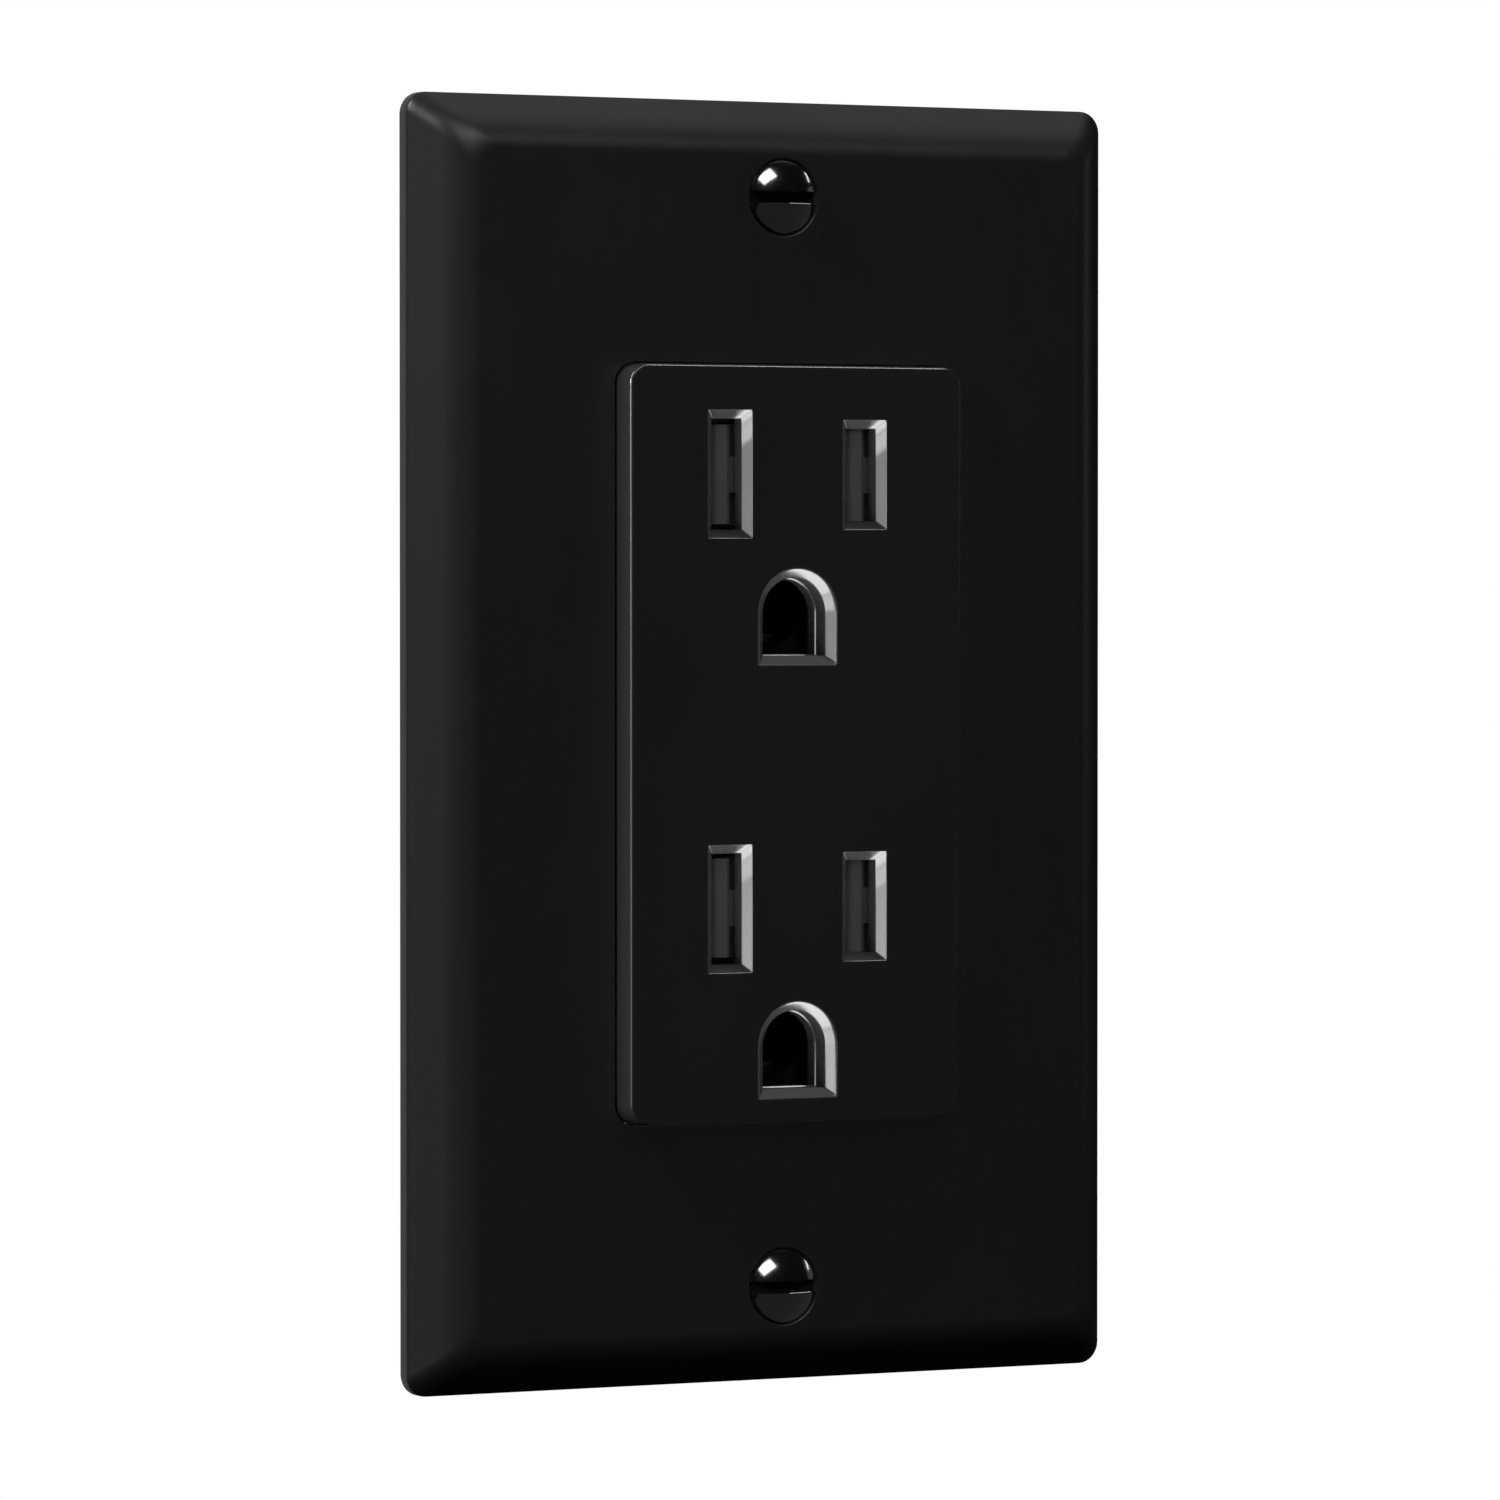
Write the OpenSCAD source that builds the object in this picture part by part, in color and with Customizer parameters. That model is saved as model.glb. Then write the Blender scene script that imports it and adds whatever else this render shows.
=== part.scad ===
// Duplex wall outlet: tamper-resistant 15 A decorator receptacle on a steel
// strap, with its one-gang wall plate and its fasteners.
// +X is to the right as seen from the room, +Z is up and -Y points into the
// room. The plane y = 0 is the wall surface. Every piece is drawn flat, with
// x right, y up and z out of the wall, and then stood up by on_wall().

/* [Wall plate] */
// Width of the wall plate
plate_w = 69.85; // [66:0.05:80]
// Height of the wall plate
plate_h = 114.3; // [112:0.1:124]
// Depth of the plate from the wall to its front face
plate_d = 6; // [5.6:0.1:6.4]
// Corner radius of the plate outline
plate_r = 1.9; // [1:0.1:4]
// Height of the upright rim before the sloping edge starts
plate_rim = 1.5; // [1:0.1:2]
// Inset at which the sloping edge has become flat
plate_bevel = 5; // [4:0.1:6]
// Wall thickness of the plate
plate_wall = 2; // [1.6:0.1:2.2]
// Clearance around the device face in the plate window
window_gap = 0.17; // [0.12:0.01:0.4]

/* [Device face] */
// Width of the rectangular device face
face_w = 33.2; // [32.6:0.1:33.6]
// Height of the rectangular device face
face_h = 67; // [66:0.1:68]
// Height of the device face above the wall
face_z = 8.7; // [7.8:0.1:8.8]
// Corner radius of the device face
face_r = 1.8; // [1:0.1:2.5]
// Front wall thickness of the device face
face_t = 2; // [1.8:0.1:2.2]

/* [Sockets] */
// Distance between the middles of the two sockets
socket_pitch = 38.4; // [38:0.1:39]
// Height of the blade slots above the socket middle
slot_up = 4.6; // [4.4:0.1:4.8]
// Sideways distance of each blade slot from the middle
slot_x = 6.75; // [6.6:0.05:6.8]
// Width of a blade slot
slot_w = 2.9; // [2.6:0.1:3]
// Height of the taller neutral slot
neutral_h = 9.8; // [9.2:0.1:10]
// Height of the shorter live slot
live_h = 8.2; // [7.4:0.1:8.4]
// Width of the funnel edge around each slot
funnel = 0.75; // [0.4:0.05:0.9]
// Drop of the middle of the earth hole below the socket middle
earth_down = 8; // [7.8:0.1:8.2]
// Width of the earth hole
earth_w = 6.2; // [6:0.1:6.4]
// Height of the earth hole
earth_h = 6.9; // [6.6:0.1:7]

/* [Strap and screws] */
// Distance between the two wall plate screws
plate_screw_pitch = 96.84; // [96.5:0.01:97.2]
// Distance between the two box screws
box_screw_pitch = 83.34; // [83:0.01:83.6]
// Thickness of the steel strap
strap_t = 1.3; // [1.2:0.05:1.4]
// Radius of the plate and box screw threads
thread_r = 1.7525; // [1.7:0.0025:1.8]
// Length of box screw behind the wall surface
box_screw_len = 22; // [16:1:30]
// Radius of the plate screw head
oval_r = 3.35; // [3.2:0.05:3.4]

/* [Body and terminals] */
// Width of the rear body
body_w = 32.4; // [32:0.1:33]
// Height of the rear body
body_h = 66.6; // [66:0.1:67]
// Depth of the rear body behind the wall surface
body_d = 24.6; // [24:0.1:28]
// Height of the wire terminals above and below the middle
term_y = 13; // [12.8:0.1:13.2]
// Depth of the wire terminals behind the wall surface
term_z = 11.5; // [11.4:0.1:11.8]
// Radius of the terminal screw thread
term_r = 2.08; // [2.04:0.01:2.1]
// Sideways travel of each shutter
shutter_travel = 3.2; // [3:0.1:3.2]

/* [Hidden] */
$fn = 48;

ys = socket_pitch / 2;            // height of the upper socket middle
yg = 7.4;                         // drop of the earth contact below a socket middle
win_w = face_w + 2 * window_gap;
win_h = face_h + 2 * window_gap;
post_x = 12.2;                    // corner posts for the assembly screws
post_y = 30.7;
blade_x = 6.35;                   // middle plane of each plug blade
plate_slope = 1.6;                // inset where the straight part of the slope ends
plate_knee = 3.7;                 // height where the straight part of the slope ends
socket_ys = [ys, -ys];

// ---------------------------------------------------------------- helpers

module on_wall() { rotate([90, 0, 0]) children(); }

// outline with true round corners
module rounded(w, h, r) {
    square([w - 2 * r, h], center = true);
    square([w, h - 2 * r], center = true);
    for (x = [-1, 1], y = [-1, 1])
        translate([x * (w / 2 - r), y * (h / 2 - r)]) circle(r);
}

module slab(w, h, r, z0, z1) {
    translate([0, 0, z0]) linear_extrude(z1 - z0) rounded(w, h, r);
}

module box(x0, x1, y0, y1, z0, z1) {
    translate([min(x0, x1), min(y0, y1), min(z0, z1)])
        cube([abs(x1 - x0), abs(y1 - y0), abs(z1 - z0)]);
}

module rod(r, z0, z1) { translate([0, 0, min(z0, z1)]) cylinder(r = r, h = abs(z1 - z0)); }

// thin corner discs of one outline layer, used inside a hull
module layer(w, h, r, z) {
    for (x = [-1, 1], y = [-1, 1])
        translate([x * (w / 2 - r), y * (h / 2 - r), z])
            cylinder(r = r, h = 0.01, $fn = 32);
}

// curve that carries the slope of the plate edge into its flat front
function edge_i(t) = pow(1 - t, 2) * plate_slope
                   + 2 * t * (1 - t) * (plate_slope + 1.67) + t * t * plate_bevel;
function edge_z(t) = pow(1 - t, 2) * plate_knee
                   + 2 * t * (1 - t) * plate_d + t * t * plate_d;

// square-edged funnel: w x h at the bottom, wider by g all round at the top
module funnel_cut(w, h, g, top) {
    intersection() {
        rotate([90, 0, 0]) linear_extrude(h + 4 * g, center = true)
            polygon([[-w / 2, top - g], [w / 2, top - g],
                     [w / 2 + g + 0.2, top + 0.2], [-w / 2 - g - 0.2, top + 0.2]]);
        rotate([90, 0, 90]) linear_extrude(w + 4 * g, center = true)
            polygon([[-h / 2, top - g], [h / 2, top - g],
                     [h / 2 + g + 0.2, top + 0.2], [-h / 2 - g - 0.2, top + 0.2]]);
    }
}

// arched earth outline: round top, flat bottom
module arch(w, h) {
    translate([0, h / 2 - w / 2]) circle(w / 2);
    translate([-w / 2, -h / 2]) square([w, h - w / 2]);
}

// ---------------------------------------------------------------- wall plate

module wall_plate() {
    color("#161616") on_wall() difference() {
        union() {
            difference() {
                hull() {
                    layer(plate_w, plate_h, plate_r, 0);
                    layer(plate_w, plate_h, plate_r, plate_rim);
                    for (t = [0:0.2:1])
                        layer(plate_w - 2 * edge_i(t), plate_h - 2 * edge_i(t),
                              plate_r, edge_z(t) - 0.01);
                }
                hull() {
                    layer(plate_w - 2 * plate_wall, plate_h - 2 * plate_wall, 1, -0.1);
                    layer(plate_w - 2 * plate_wall, plate_h - 2 * plate_wall, 1, 1.4);
                    layer(plate_w - 7.4, plate_h - 7.4, 1, 3.2);
                    layer(plate_w - 11, plate_h - 11, 1, plate_d - 2.1);
                }
            }
            // collar around the window
            slab(win_w + 2.6, win_h + 2.6, face_r + 1.3, 2, plate_d - 1);
            // screw bosses
            for (s = [-1, 1]) translate([0, s * plate_screw_pitch / 2])
                rod(2.7, strap_t + 0.1, plate_d - 1);
            // stiffening ribs across the back
            for (s = [-1, 1], x = [-22.5, 22.5])
                box(x - 0.6, x + 0.6, s * 8, s * 50, 2.4, plate_d - 1);
            for (s = [-1, 1], y = [-22, 22])
                box(s * 17, s * 31.6, y - 0.6, y + 0.6, 2.4, plate_d - 1);
        }
        slab(win_w, win_h, face_r + window_gap, -1, plate_d + 1);
        for (s = [-1, 1]) translate([0, s * plate_screw_pitch / 2]) {
            rod(2, 0.5, plate_d + 0.5);
            // countersink of 82 degrees
            translate([0, 0, plate_d - 1.9])
                cylinder(r1 = oval_r + 0.15 - 1.9 * 0.869, r2 = oval_r + 0.15, h = 1.9);
            rod(oval_r + 0.15, plate_d - 0.001, plate_d + 0.5);
        }
    }
}

// oval-head screw that holds the plate on the strap
module oval_screw() {
    dome_h = 1.15;
    dome_r = (oval_r * oval_r + dome_h * dome_h) / (2 * dome_h);
    seat = plate_d - 0.05;
    difference() {
        union() {
            intersection() {
                translate([0, 0, seat + dome_h - dome_r]) sphere(dome_r, $fn = 64);
                rod(oval_r, seat - 0.001, seat + 2);
            }
            translate([0, 0, seat - 1.85])
                cylinder(r1 = oval_r - 1.85 * 0.869, r2 = oval_r, h = 1.85);
            rod(thread_r, -6.5, seat - 1);
        }
        // driver slot
        box(-5, 5, -0.53, 0.53, seat - 0.25, seat + 2);
    }
}

module plate_screw_top() {
    color("#101010") on_wall() translate([0, plate_screw_pitch / 2]) oval_screw();
}
module plate_screw_bottom() {
    color("#101010") on_wall() translate([0, -plate_screw_pitch / 2]) oval_screw();
}

// ---------------------------------------------------------------- device face

module device_face() {
    inner = face_z - face_t;
    color("#171717") on_wall() difference() {
        union() {
            difference() {
                slab(face_w, face_h, face_r, 0, face_z);
                box(-15.1, 15.1, -32, 32, -1, inner);
                // the strap passes under both ends
                for (s = [-1, 1]) box(-14.62, 14.62, s * 31, s * 40, -1, strap_t + 0.02);
            }
            // skirts that close the terminal notches of the body
            for (s = [-1, 1]) box(s * 15.1, s * 16.15, -19.6, 19.6, -4.6, 1);
            // corner posts that take the assembly screws
            for (x = [-1, 1], y = [-1, 1]) translate([x * post_x, y * post_y])
                rod(2, strap_t + 0.02, inner + 0.5);
            // rib between the two sockets
            box(-15.2, 15.2, -0.6, 0.6, 2.6, inner + 0.5);
            for (y = socket_ys) {
                // collar around the earth hole
                translate([0, y - earth_down, 3.2]) linear_extrude(inner - 2.7)
                    arch(earth_w + 2, earth_h + 2);
                // tube that lines the strap's hole
                translate([0, y - yg]) rod(3.5, 0.05, 3.4);
            }
        }
        for (x = [-1, 1], y = [-1, 1]) translate([x * post_x, y * post_y])
            rod(1.27, -1, inner - 0.4);
        for (y = socket_ys) {
            translate([-slot_x, y + slot_up]) {
                box(-slot_w / 2, slot_w / 2, -neutral_h / 2, neutral_h / 2, 5, face_z + 1);
                funnel_cut(slot_w, neutral_h, funnel, face_z);
            }
            translate([slot_x, y + slot_up]) {
                box(-slot_w / 2, slot_w / 2, -live_h / 2, live_h / 2, 5, face_z + 1);
                funnel_cut(slot_w, live_h, funnel, face_z);
            }
            translate([0, y - earth_down]) {
                translate([0, 0, inner - 0.2]) linear_extrude(face_z) arch(earth_w, earth_h);
                // narrower throat, then an undercut above the tube
                translate([0, 0, 4]) linear_extrude(4) arch(earth_w - 0.3, earth_h - 0.3);
                translate([0, 0, 3.8]) linear_extrude(0.8) arch(earth_w + 0.4, earth_h + 0.4);
                translate([0, earth_down - yg]) rod(3, -1, 4);
                translate([0, 0, face_z - funnel / 2]) linear_extrude(2)
                    arch(earth_w + funnel, earth_h + funnel);
                translate([0, 0, face_z - funnel / 4]) linear_extrude(2)
                    arch(earth_w + 1.6 * funnel, earth_h + 1.6 * funnel);
            }
        }
    }
}

// ---------------------------------------------------------------- rear body

module rear_body() {
    hw = body_w / 2;
    hh = body_h / 2;
    floor_z = -body_d + 2;
    color("#202022") on_wall() difference() {
        union() {
            difference() {
                slab(body_w, body_h, 1.5, -body_d, 0);
                box(-hw + 1.6, hw - 1.6, -hh + 1.6, hh - 1.6, floor_z, 1);
            }
            // corner posts for the assembly screws
            for (x = [-1, 1], y = [-1, 1]) translate([x * post_x, y * post_y])
                rod(2.2, floor_z - 0.5, 0);
            for (s = [-1, 1]) {
                // long walls between the earth channel and the blade channels
                box(s * 3.5, s * 4.3, -hh + 1, hh - 1, floor_z - 0.5, -2.2);
                // cross wall between the upper and the lower half
                box(s * 4, s * (hw - 1.6), -1, 1, floor_z - 0.5, -2.2);
                // walls that keep each wire clamp square
                for (t = [-1, 1], y = [6.4, 19.5])
                    box(s * 10.6, s * (hw - 1.2), t * y - 0.45, t * y + 0.45,
                        floor_z - 0.5, -5);
                // seats under the blade contacts
                for (y = socket_ys)
                    box(s * 5, s * 9, y + slot_up - 2, y + slot_up + 2,
                        floor_z - 0.5, -16.25);
            }
        }
        for (s = [-1, 1]) {
            // side notch that leaves both terminals open
            box(s * (hw - 1.7), s * (hw + 1), -19.95, 19.95, -18.3, 1);
            // entry holes for the wires
            for (t = [-1, 1], d = [-3.4, 3.4])
                translate([s * 13.75, t * term_y + d]) rod(1.45, -body_d - 1, -17);
        }
        // seats and holes for the assembly screws
        for (x = [-1, 1], y = [-1, 1]) translate([x * post_x, y * post_y]) {
            rod(1.35, -body_d - 1, 1);
            rod(2.45, -body_d - 1, -body_d + 1.6);
        }
    }
}

module assembly_screws() {
    color("#b9bcc0") on_wall()
        for (x = [-1, 1], y = [-1, 1]) translate([x * post_x, y * post_y]) difference() {
            union() {
                rod(1.25, -body_d + 1, 5.6);
                rod(2.35, -body_d + 0.1, -body_d + 1.6);
            }
            box(-3, 3, -0.3, 0.3, -body_d, -body_d + 0.9);
            box(-0.3, 0.3, -3, 3, -body_d, -body_d + 0.9);
        }
}

// ---------------------------------------------------------------- strap

module ear_outline() {
    polygon([[-14.5, 0], [-14.5, 33.4], [-9.5, 34.6], [-9.5, 37.6], [-16.5, 37.6],
             [-16.5, 50.6], [-13.5, 53.4], [13.5, 53.4], [16.5, 50.6], [16.5, 37.6],
             [9.5, 37.6], [9.5, 34.6], [14.5, 33.4], [14.5, 0]]);
}

module mounting_strap() {
    color("#a9adb1") on_wall() difference() {
        union() {
            linear_extrude(strap_t) { ear_outline(); mirror([0, 1]) ear_outline(); }
            // tab folded back for the earth screw
            box(-16.5, -15.2, -49.5, -39, -11.4, 0.5);
        }
        for (s = [-1, 1]) {
            translate([0, s * plate_screw_pitch / 2]) rod(thread_r + 0.05, -1, 3);
            // box screw slot, with room to level the device
            translate([0, s * box_screw_pitch / 2, -1]) linear_extrude(4) {
                square([4, 4.2], center = true);
                for (x = [-2, 2]) translate([x, 0]) circle(2.1);
            }
            // scored plaster ears
            for (x = [-11.6, 11.6]) translate([x, s * 44.3, -1]) linear_extrude(4) {
                square([2.4, 5.6], center = true);
                for (y = [-2.8, 2.8]) translate([0, y]) circle(1.2);
            }
        }
        for (y = socket_ys) {
            for (s = [-1, 1])
                box(s * 4.6, s * 8.9, y + slot_up - 5.4, y + slot_up + 5.4, -1, 3);
            translate([0, y - yg]) rod(3.6, -1, 3);
            for (x = [-2.3, 2.3]) translate([x, y - yg + 5.2]) rod(0.95, -1, 3);
        }
        for (x = [-1, 1], y = [-1, 1]) translate([x * post_x, y * post_y]) rod(1.45, -1, 3);
        // threaded hole of the earth screw
        translate([-20, -44.2, -6]) rotate([0, 90, 0]) cylinder(r = term_r + 0.05, h = 8);
    }
}

module ground_contact(y) {
    color("#c9a24a") on_wall() translate([0, y - yg]) difference() {
        union() {
            box(-4.7, 4.7, -3.8, 6.6, -0.9, 0);
            for (s = [-1, 1]) {
                box(-2, 2, s * 2.2, s * 2.9, -12, 0);
                // narrower foot of each leaf
                box(-1.4, 1.4, s * 2.2, s * 2.9, -13.3, -11.9);
            }
            // web that joins the two leaves at the back
            box(-1.4, 1.4, -2.9, 2.9, -13.9, -13.2);
        }
        box(-3.7, 3.7, -2.2, 2.2, -1.5, 1);
        for (x = [-2.3, 2.3]) translate([x, 5.2]) rod(0.95, -2, 1);
    }
}
module ground_contact_upper() { ground_contact(ys); }
module ground_contact_lower() { ground_contact(-ys); }

module ground_rivets() {
    color("#b9bcc0") on_wall()
        for (y = socket_ys, x = [-2.3, 2.3]) translate([x, y - yg + 5.2]) {
            rod(0.92, -1.4, strap_t + 0.5);
            rod(1.1, strap_t, strap_t + 0.55);
            rod(1.1, -1.45, -0.9);
        }
}

// ---------------------------------------------------------------- live parts

// one half of a bus: side terminal plate, arm, rail and the pinching contact.
// yc is the contact's height and t is +1 for the upper half, -1 for the lower.
module bus_half(yc, t) {
    end = t > 0 ? yc + 3.4 : -(yc - 3.4);
    box(15, 16, t * 2, t * 19.4, -17.9, -4.9);
    // wire stop folded in at the front of the terminal plate
    box(13.2, 15.1, t * 8, t * 18, -5.7, -4.9);
    box(9.2, 15.1, t * 2, t * 5.4, -15, -14.2);
    box(9.2, 10, t * 2, t * end, -16.2, -9);
    box(4.85, 10, yc - 3.4, yc + 3.4, -16.2, -15.4);
    for (x = [4.85, 7.05]) box(x, x + 0.8, yc - 3.4, yc + 3.4, -15.5, -3.6);
    // flared mouth of the contact
    translate([0, yc]) rotate([90, 0, 0]) linear_extrude(6.8, center = true) {
        polygon([[4.85, -3.7], [5.65, -3.7], [5.15, -2.3], [4.45, -2.3]]);
        polygon([[7.05, -3.7], [7.85, -3.7], [8.25, -2.3], [7.55, -2.3]]);
    }
}

module bus() {
    difference() {
        union() {
            bus_half(ys + slot_up, 1);
            bus_half(-ys + slot_up, -1);
            // break-off fin that joins the halves
            box(15.2, 17.2, -2.1, 2.1, -13, -8.5);
        }
        for (t = [-1, 1]) {
            translate([14, t * term_y, -term_z]) rotate([0, 90, 0])
                cylinder(r = term_r + 0.12, h = 3);
            // necks that let the fin snap off
            box(14.5, 17.4, t * 1.9, t * 1.3, -11.8, -9.7);
        }
    }
}

module hot_bus() { color("#c6973f") on_wall() bus(); }
module neutral_bus() { color("#b8b7b0") on_wall() mirror([1, 0]) bus(); }

// binding-head terminal screw: head outside the terminal plate
module term_screw(t) {
    translate([0, t * term_y, -term_z]) rotate([0, 90, 0]) difference() {
        union() {
            translate([0, 0, 10.6]) cylinder(r = term_r, h = 6);
            translate([0, 0, 16.02]) cylinder(r = 4, h = 1.4);
            translate([0, 0, 17.42]) cylinder(r1 = 4, r2 = 3.1, h = 1);
        }
        // combined slot and square drive
        translate([-4.5, -0.55, 17.3]) cube([9, 1.1, 2]);
        translate([-1.2, -1.2, 16.9]) cube([2.4, 2.4, 2]);
    }
}
module hot_screw_upper() { color("#d0a548") on_wall() term_screw(1); }
module hot_screw_lower() { color("#d0a548") on_wall() term_screw(-1); }
module neutral_screw_upper() { color("#c9cacb") on_wall() mirror([1, 0]) term_screw(1); }
module neutral_screw_lower() { color("#c9cacb") on_wall() mirror([1, 0]) term_screw(-1); }

// threaded pressure plate that grips the wires behind the terminal plate
module clamp(t) {
    translate([0, t * term_y, -term_z]) difference() {
        box(10.9, 12.5, -5.7, 5.7, -4.4, 4.4);
        translate([10, 0, 0]) rotate([0, 90, 0]) cylinder(r = term_r + 0.05, h = 4);
        // grooves that seat the two wires
        for (d = [-3.4, 3.4]) translate([13.3, d, -6]) cylinder(r = 1.1, h = 12);
    }
}
module hot_clamp_upper() { color("#9fa3a6") on_wall() clamp(1); }
module hot_clamp_lower() { color("#9fa3a6") on_wall() clamp(-1); }
module neutral_clamp_upper() { color("#9fa3a6") on_wall() mirror([1, 0]) clamp(1); }
module neutral_clamp_lower() { color("#9fa3a6") on_wall() mirror([1, 0]) clamp(-1); }

module ground_screw() {
    color("#3f8f4f") on_wall() translate([-16.5, -44.2, -6]) rotate([0, -90, 0])
        difference() {
            union() {
                translate([0, 0, -8.5]) cylinder(r = term_r, h = 9);
                translate([0, 0, 0.02]) cylinder(r = 4.2, h = 0.9);
                translate([0, 0, 0.9]) cylinder(r = 3.7, h = 1.9, $fn = 6);
            }
            translate([-4.5, -0.55, 1.8]) cube([9, 1.1, 2]);
        }
}

// ---------------------------------------------------------------- shutters

// sliding shutter: a ramp behind each blade slot, and a window beside it
module shutter(y) {
    color("#3a3b3d") on_wall() translate([0, y + slot_up]) difference() {
        union() {
            box(-12.9, 9.8, -4.5, 4.5, 2.3, 3.9);
            for (x = [-slot_x, slot_x]) translate([x, 0]) rotate([90, 0, 0])
                linear_extrude(8.8, center = true)
                    polygon([[-1.9, 3.8], [1.05, 3.8], [1.05, 6.5], [0.8, 6.5], [-1.9, 4.5]]);
            // nose in the middle third of each ramp
            for (x = [-slot_x, slot_x]) translate([x, 0])
                box(0.8, 1.75, -1.6, 1.6, 3.8, 6.5);
        }
        for (x = [-slot_x, slot_x]) box(x - 5, x - 1.9, -3.9, 3.9, 2, 4.4);
        // pocket for the return spring
        translate([7.05, 0, 4]) rotate([0, 90, 0]) cylinder(r = 1.15, h = 6, $fn = 32);
    }
}
module shutter_upper() { shutter(ys); }
module shutter_lower() { shutter(-ys); }

// guide plate under a shutter, with its rails and the spring post
module shutter_guide(y) {
    color("#d8d6ce") on_wall() translate([0, y + slot_up]) difference() {
        union() {
            box(-14.9, 14.9, -4.85, 4.85, strap_t + 0.05, 2.15);
            for (s = [-1, 1]) box(-9.9, 9.9, s * 4.6, s * 5.5, strap_t + 0.05, 4.2);
            box(13.9, 14.9, -2, 2, 2, 5.4);
            translate([13.1, 0, 4]) rotate([0, 90, 0]) cylinder(r = 0.6, h = 1, $fn = 32);
        }
        for (s = [-1, 1])
            box(s * (blade_x - 1.6), s * (blade_x + 1.6), -4.3, 4.3, 0, 3);
    }
}
module shutter_guide_upper() { shutter_guide(ys); }
module shutter_guide_lower() { shutter_guide(-ys); }

// helical spring swept along x: ring k of the coil, wire radius w, mean radius m
spring_turns = 7;
spring_seg = 14;
spring_sides = 6;
spring_n = spring_turns * spring_seg;
function coil_mid(k, x0, x1, m) = let(a = 360 * k / spring_seg)
    [x0 + (x1 - x0) * k / spring_n, m * cos(a), m * sin(a)];
function coil_ring(k, x0, x1, m, w) = let(a = 360 * k / spring_seg, c = coil_mid(k, x0, x1, m))
    [for (j = [0:spring_sides - 1]) let(b = 360 * j / spring_sides)
        c + w * (cos(b) * [0, cos(a), sin(a)] + sin(b) * [1, 0, 0])];
module coil(x0, x1, m, w) {
    pts = [for (k = [0:spring_n]) each coil_ring(k, x0, x1, m, w)];
    s = spring_sides;
    faces = concat(
        [[for (j = [0:s - 1]) j]],
        [for (k = [0:spring_n - 1], j = [0:s - 1])
            [k * s + j, (k + 1) * s + j, (k + 1) * s + (j + 1) % s, k * s + (j + 1) % s]],
        [[for (j = [s - 1:-1:0]) spring_n * s + j]]);
    polyhedron(pts, faces, convexity = 10);
}
module shutter_spring(y) {
    color("#c8ccd0") on_wall() translate([0, y + slot_up, 4])
        coil(7.23, 13.72, 0.88, 0.16);
}
module shutter_spring_upper() { shutter_spring(ys); }
module shutter_spring_lower() { shutter_spring(-ys); }

// ---------------------------------------------------------------- box screws

module box_screw() {
    difference() {
        union() {
            translate([0, 0, strap_t + 0.02]) cylinder(r = 3.9, h = 1);
            translate([0, 0, strap_t + 1.02]) cylinder(r1 = 3.9, r2 = 2.8, h = 0.9);
            // neck that the retainer holds
            rod(1.5, -0.6, strap_t + 0.5);
            rod(thread_r, -box_screw_len, -0.45);
        }
        box(-5, 5, -0.5, 0.5, strap_t + 0.95, strap_t + 3);
        box(-0.5, 0.5, -1.9, 1.9, strap_t + 0.95, strap_t + 3);
    }
}
module box_screw_top() {
    color("#b9bcc0") on_wall() translate([0, box_screw_pitch / 2]) box_screw();
}
module box_screw_bottom() {
    color("#b9bcc0") on_wall() translate([0, -box_screw_pitch / 2]) box_screw();
}

// card washers that keep the box screws on the strap
module screw_retainers() {
    color("#b08d5a") on_wall() for (s = [-1, 1])
        translate([0, s * box_screw_pitch / 2]) difference() {
            box(-4.8, 4.8, -3.6, 3.6, -0.42, -0.02);
            rod(1.57, -1, 1);
        }
}

wall_plate();
plate_screw_top();
plate_screw_bottom();
device_face();
rear_body();
mounting_strap();
assembly_screws();
ground_contact_upper();
ground_contact_lower();
ground_rivets();
hot_bus();
neutral_bus();
hot_screw_upper();
hot_screw_lower();
neutral_screw_upper();
neutral_screw_lower();
hot_clamp_upper();
hot_clamp_lower();
neutral_clamp_upper();
neutral_clamp_lower();
ground_screw();
shutter_upper();
shutter_lower();
shutter_guide_upper();
shutter_guide_lower();
shutter_spring_upper();
shutter_spring_lower();
box_screw_top();
box_screw_bottom();
screw_retainers();
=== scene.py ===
import math

import bmesh
import bpy
import numpy as np
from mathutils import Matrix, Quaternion, Vector

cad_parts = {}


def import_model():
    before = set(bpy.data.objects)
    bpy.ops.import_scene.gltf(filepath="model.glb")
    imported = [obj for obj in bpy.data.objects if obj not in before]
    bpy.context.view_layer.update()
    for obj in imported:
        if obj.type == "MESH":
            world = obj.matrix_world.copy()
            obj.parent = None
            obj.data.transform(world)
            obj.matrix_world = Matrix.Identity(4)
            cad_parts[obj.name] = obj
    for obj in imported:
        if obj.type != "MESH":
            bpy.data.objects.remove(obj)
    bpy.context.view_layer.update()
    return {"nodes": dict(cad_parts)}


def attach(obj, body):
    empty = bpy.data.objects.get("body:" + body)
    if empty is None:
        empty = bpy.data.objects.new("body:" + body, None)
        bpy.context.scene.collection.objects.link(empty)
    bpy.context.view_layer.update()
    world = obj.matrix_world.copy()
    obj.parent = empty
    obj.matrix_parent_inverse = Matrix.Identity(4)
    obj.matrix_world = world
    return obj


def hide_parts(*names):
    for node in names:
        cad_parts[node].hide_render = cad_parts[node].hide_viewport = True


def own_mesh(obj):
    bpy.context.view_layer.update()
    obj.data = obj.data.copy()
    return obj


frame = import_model()
N = frame["nodes"]
scene = bpy.context.scene
BASE = "receptacle"
MM = 0.001

# ------------------------------------------------------------------ sizes (mm)
# Local coordinates are x to the right, y up and z out of the wall.

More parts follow.
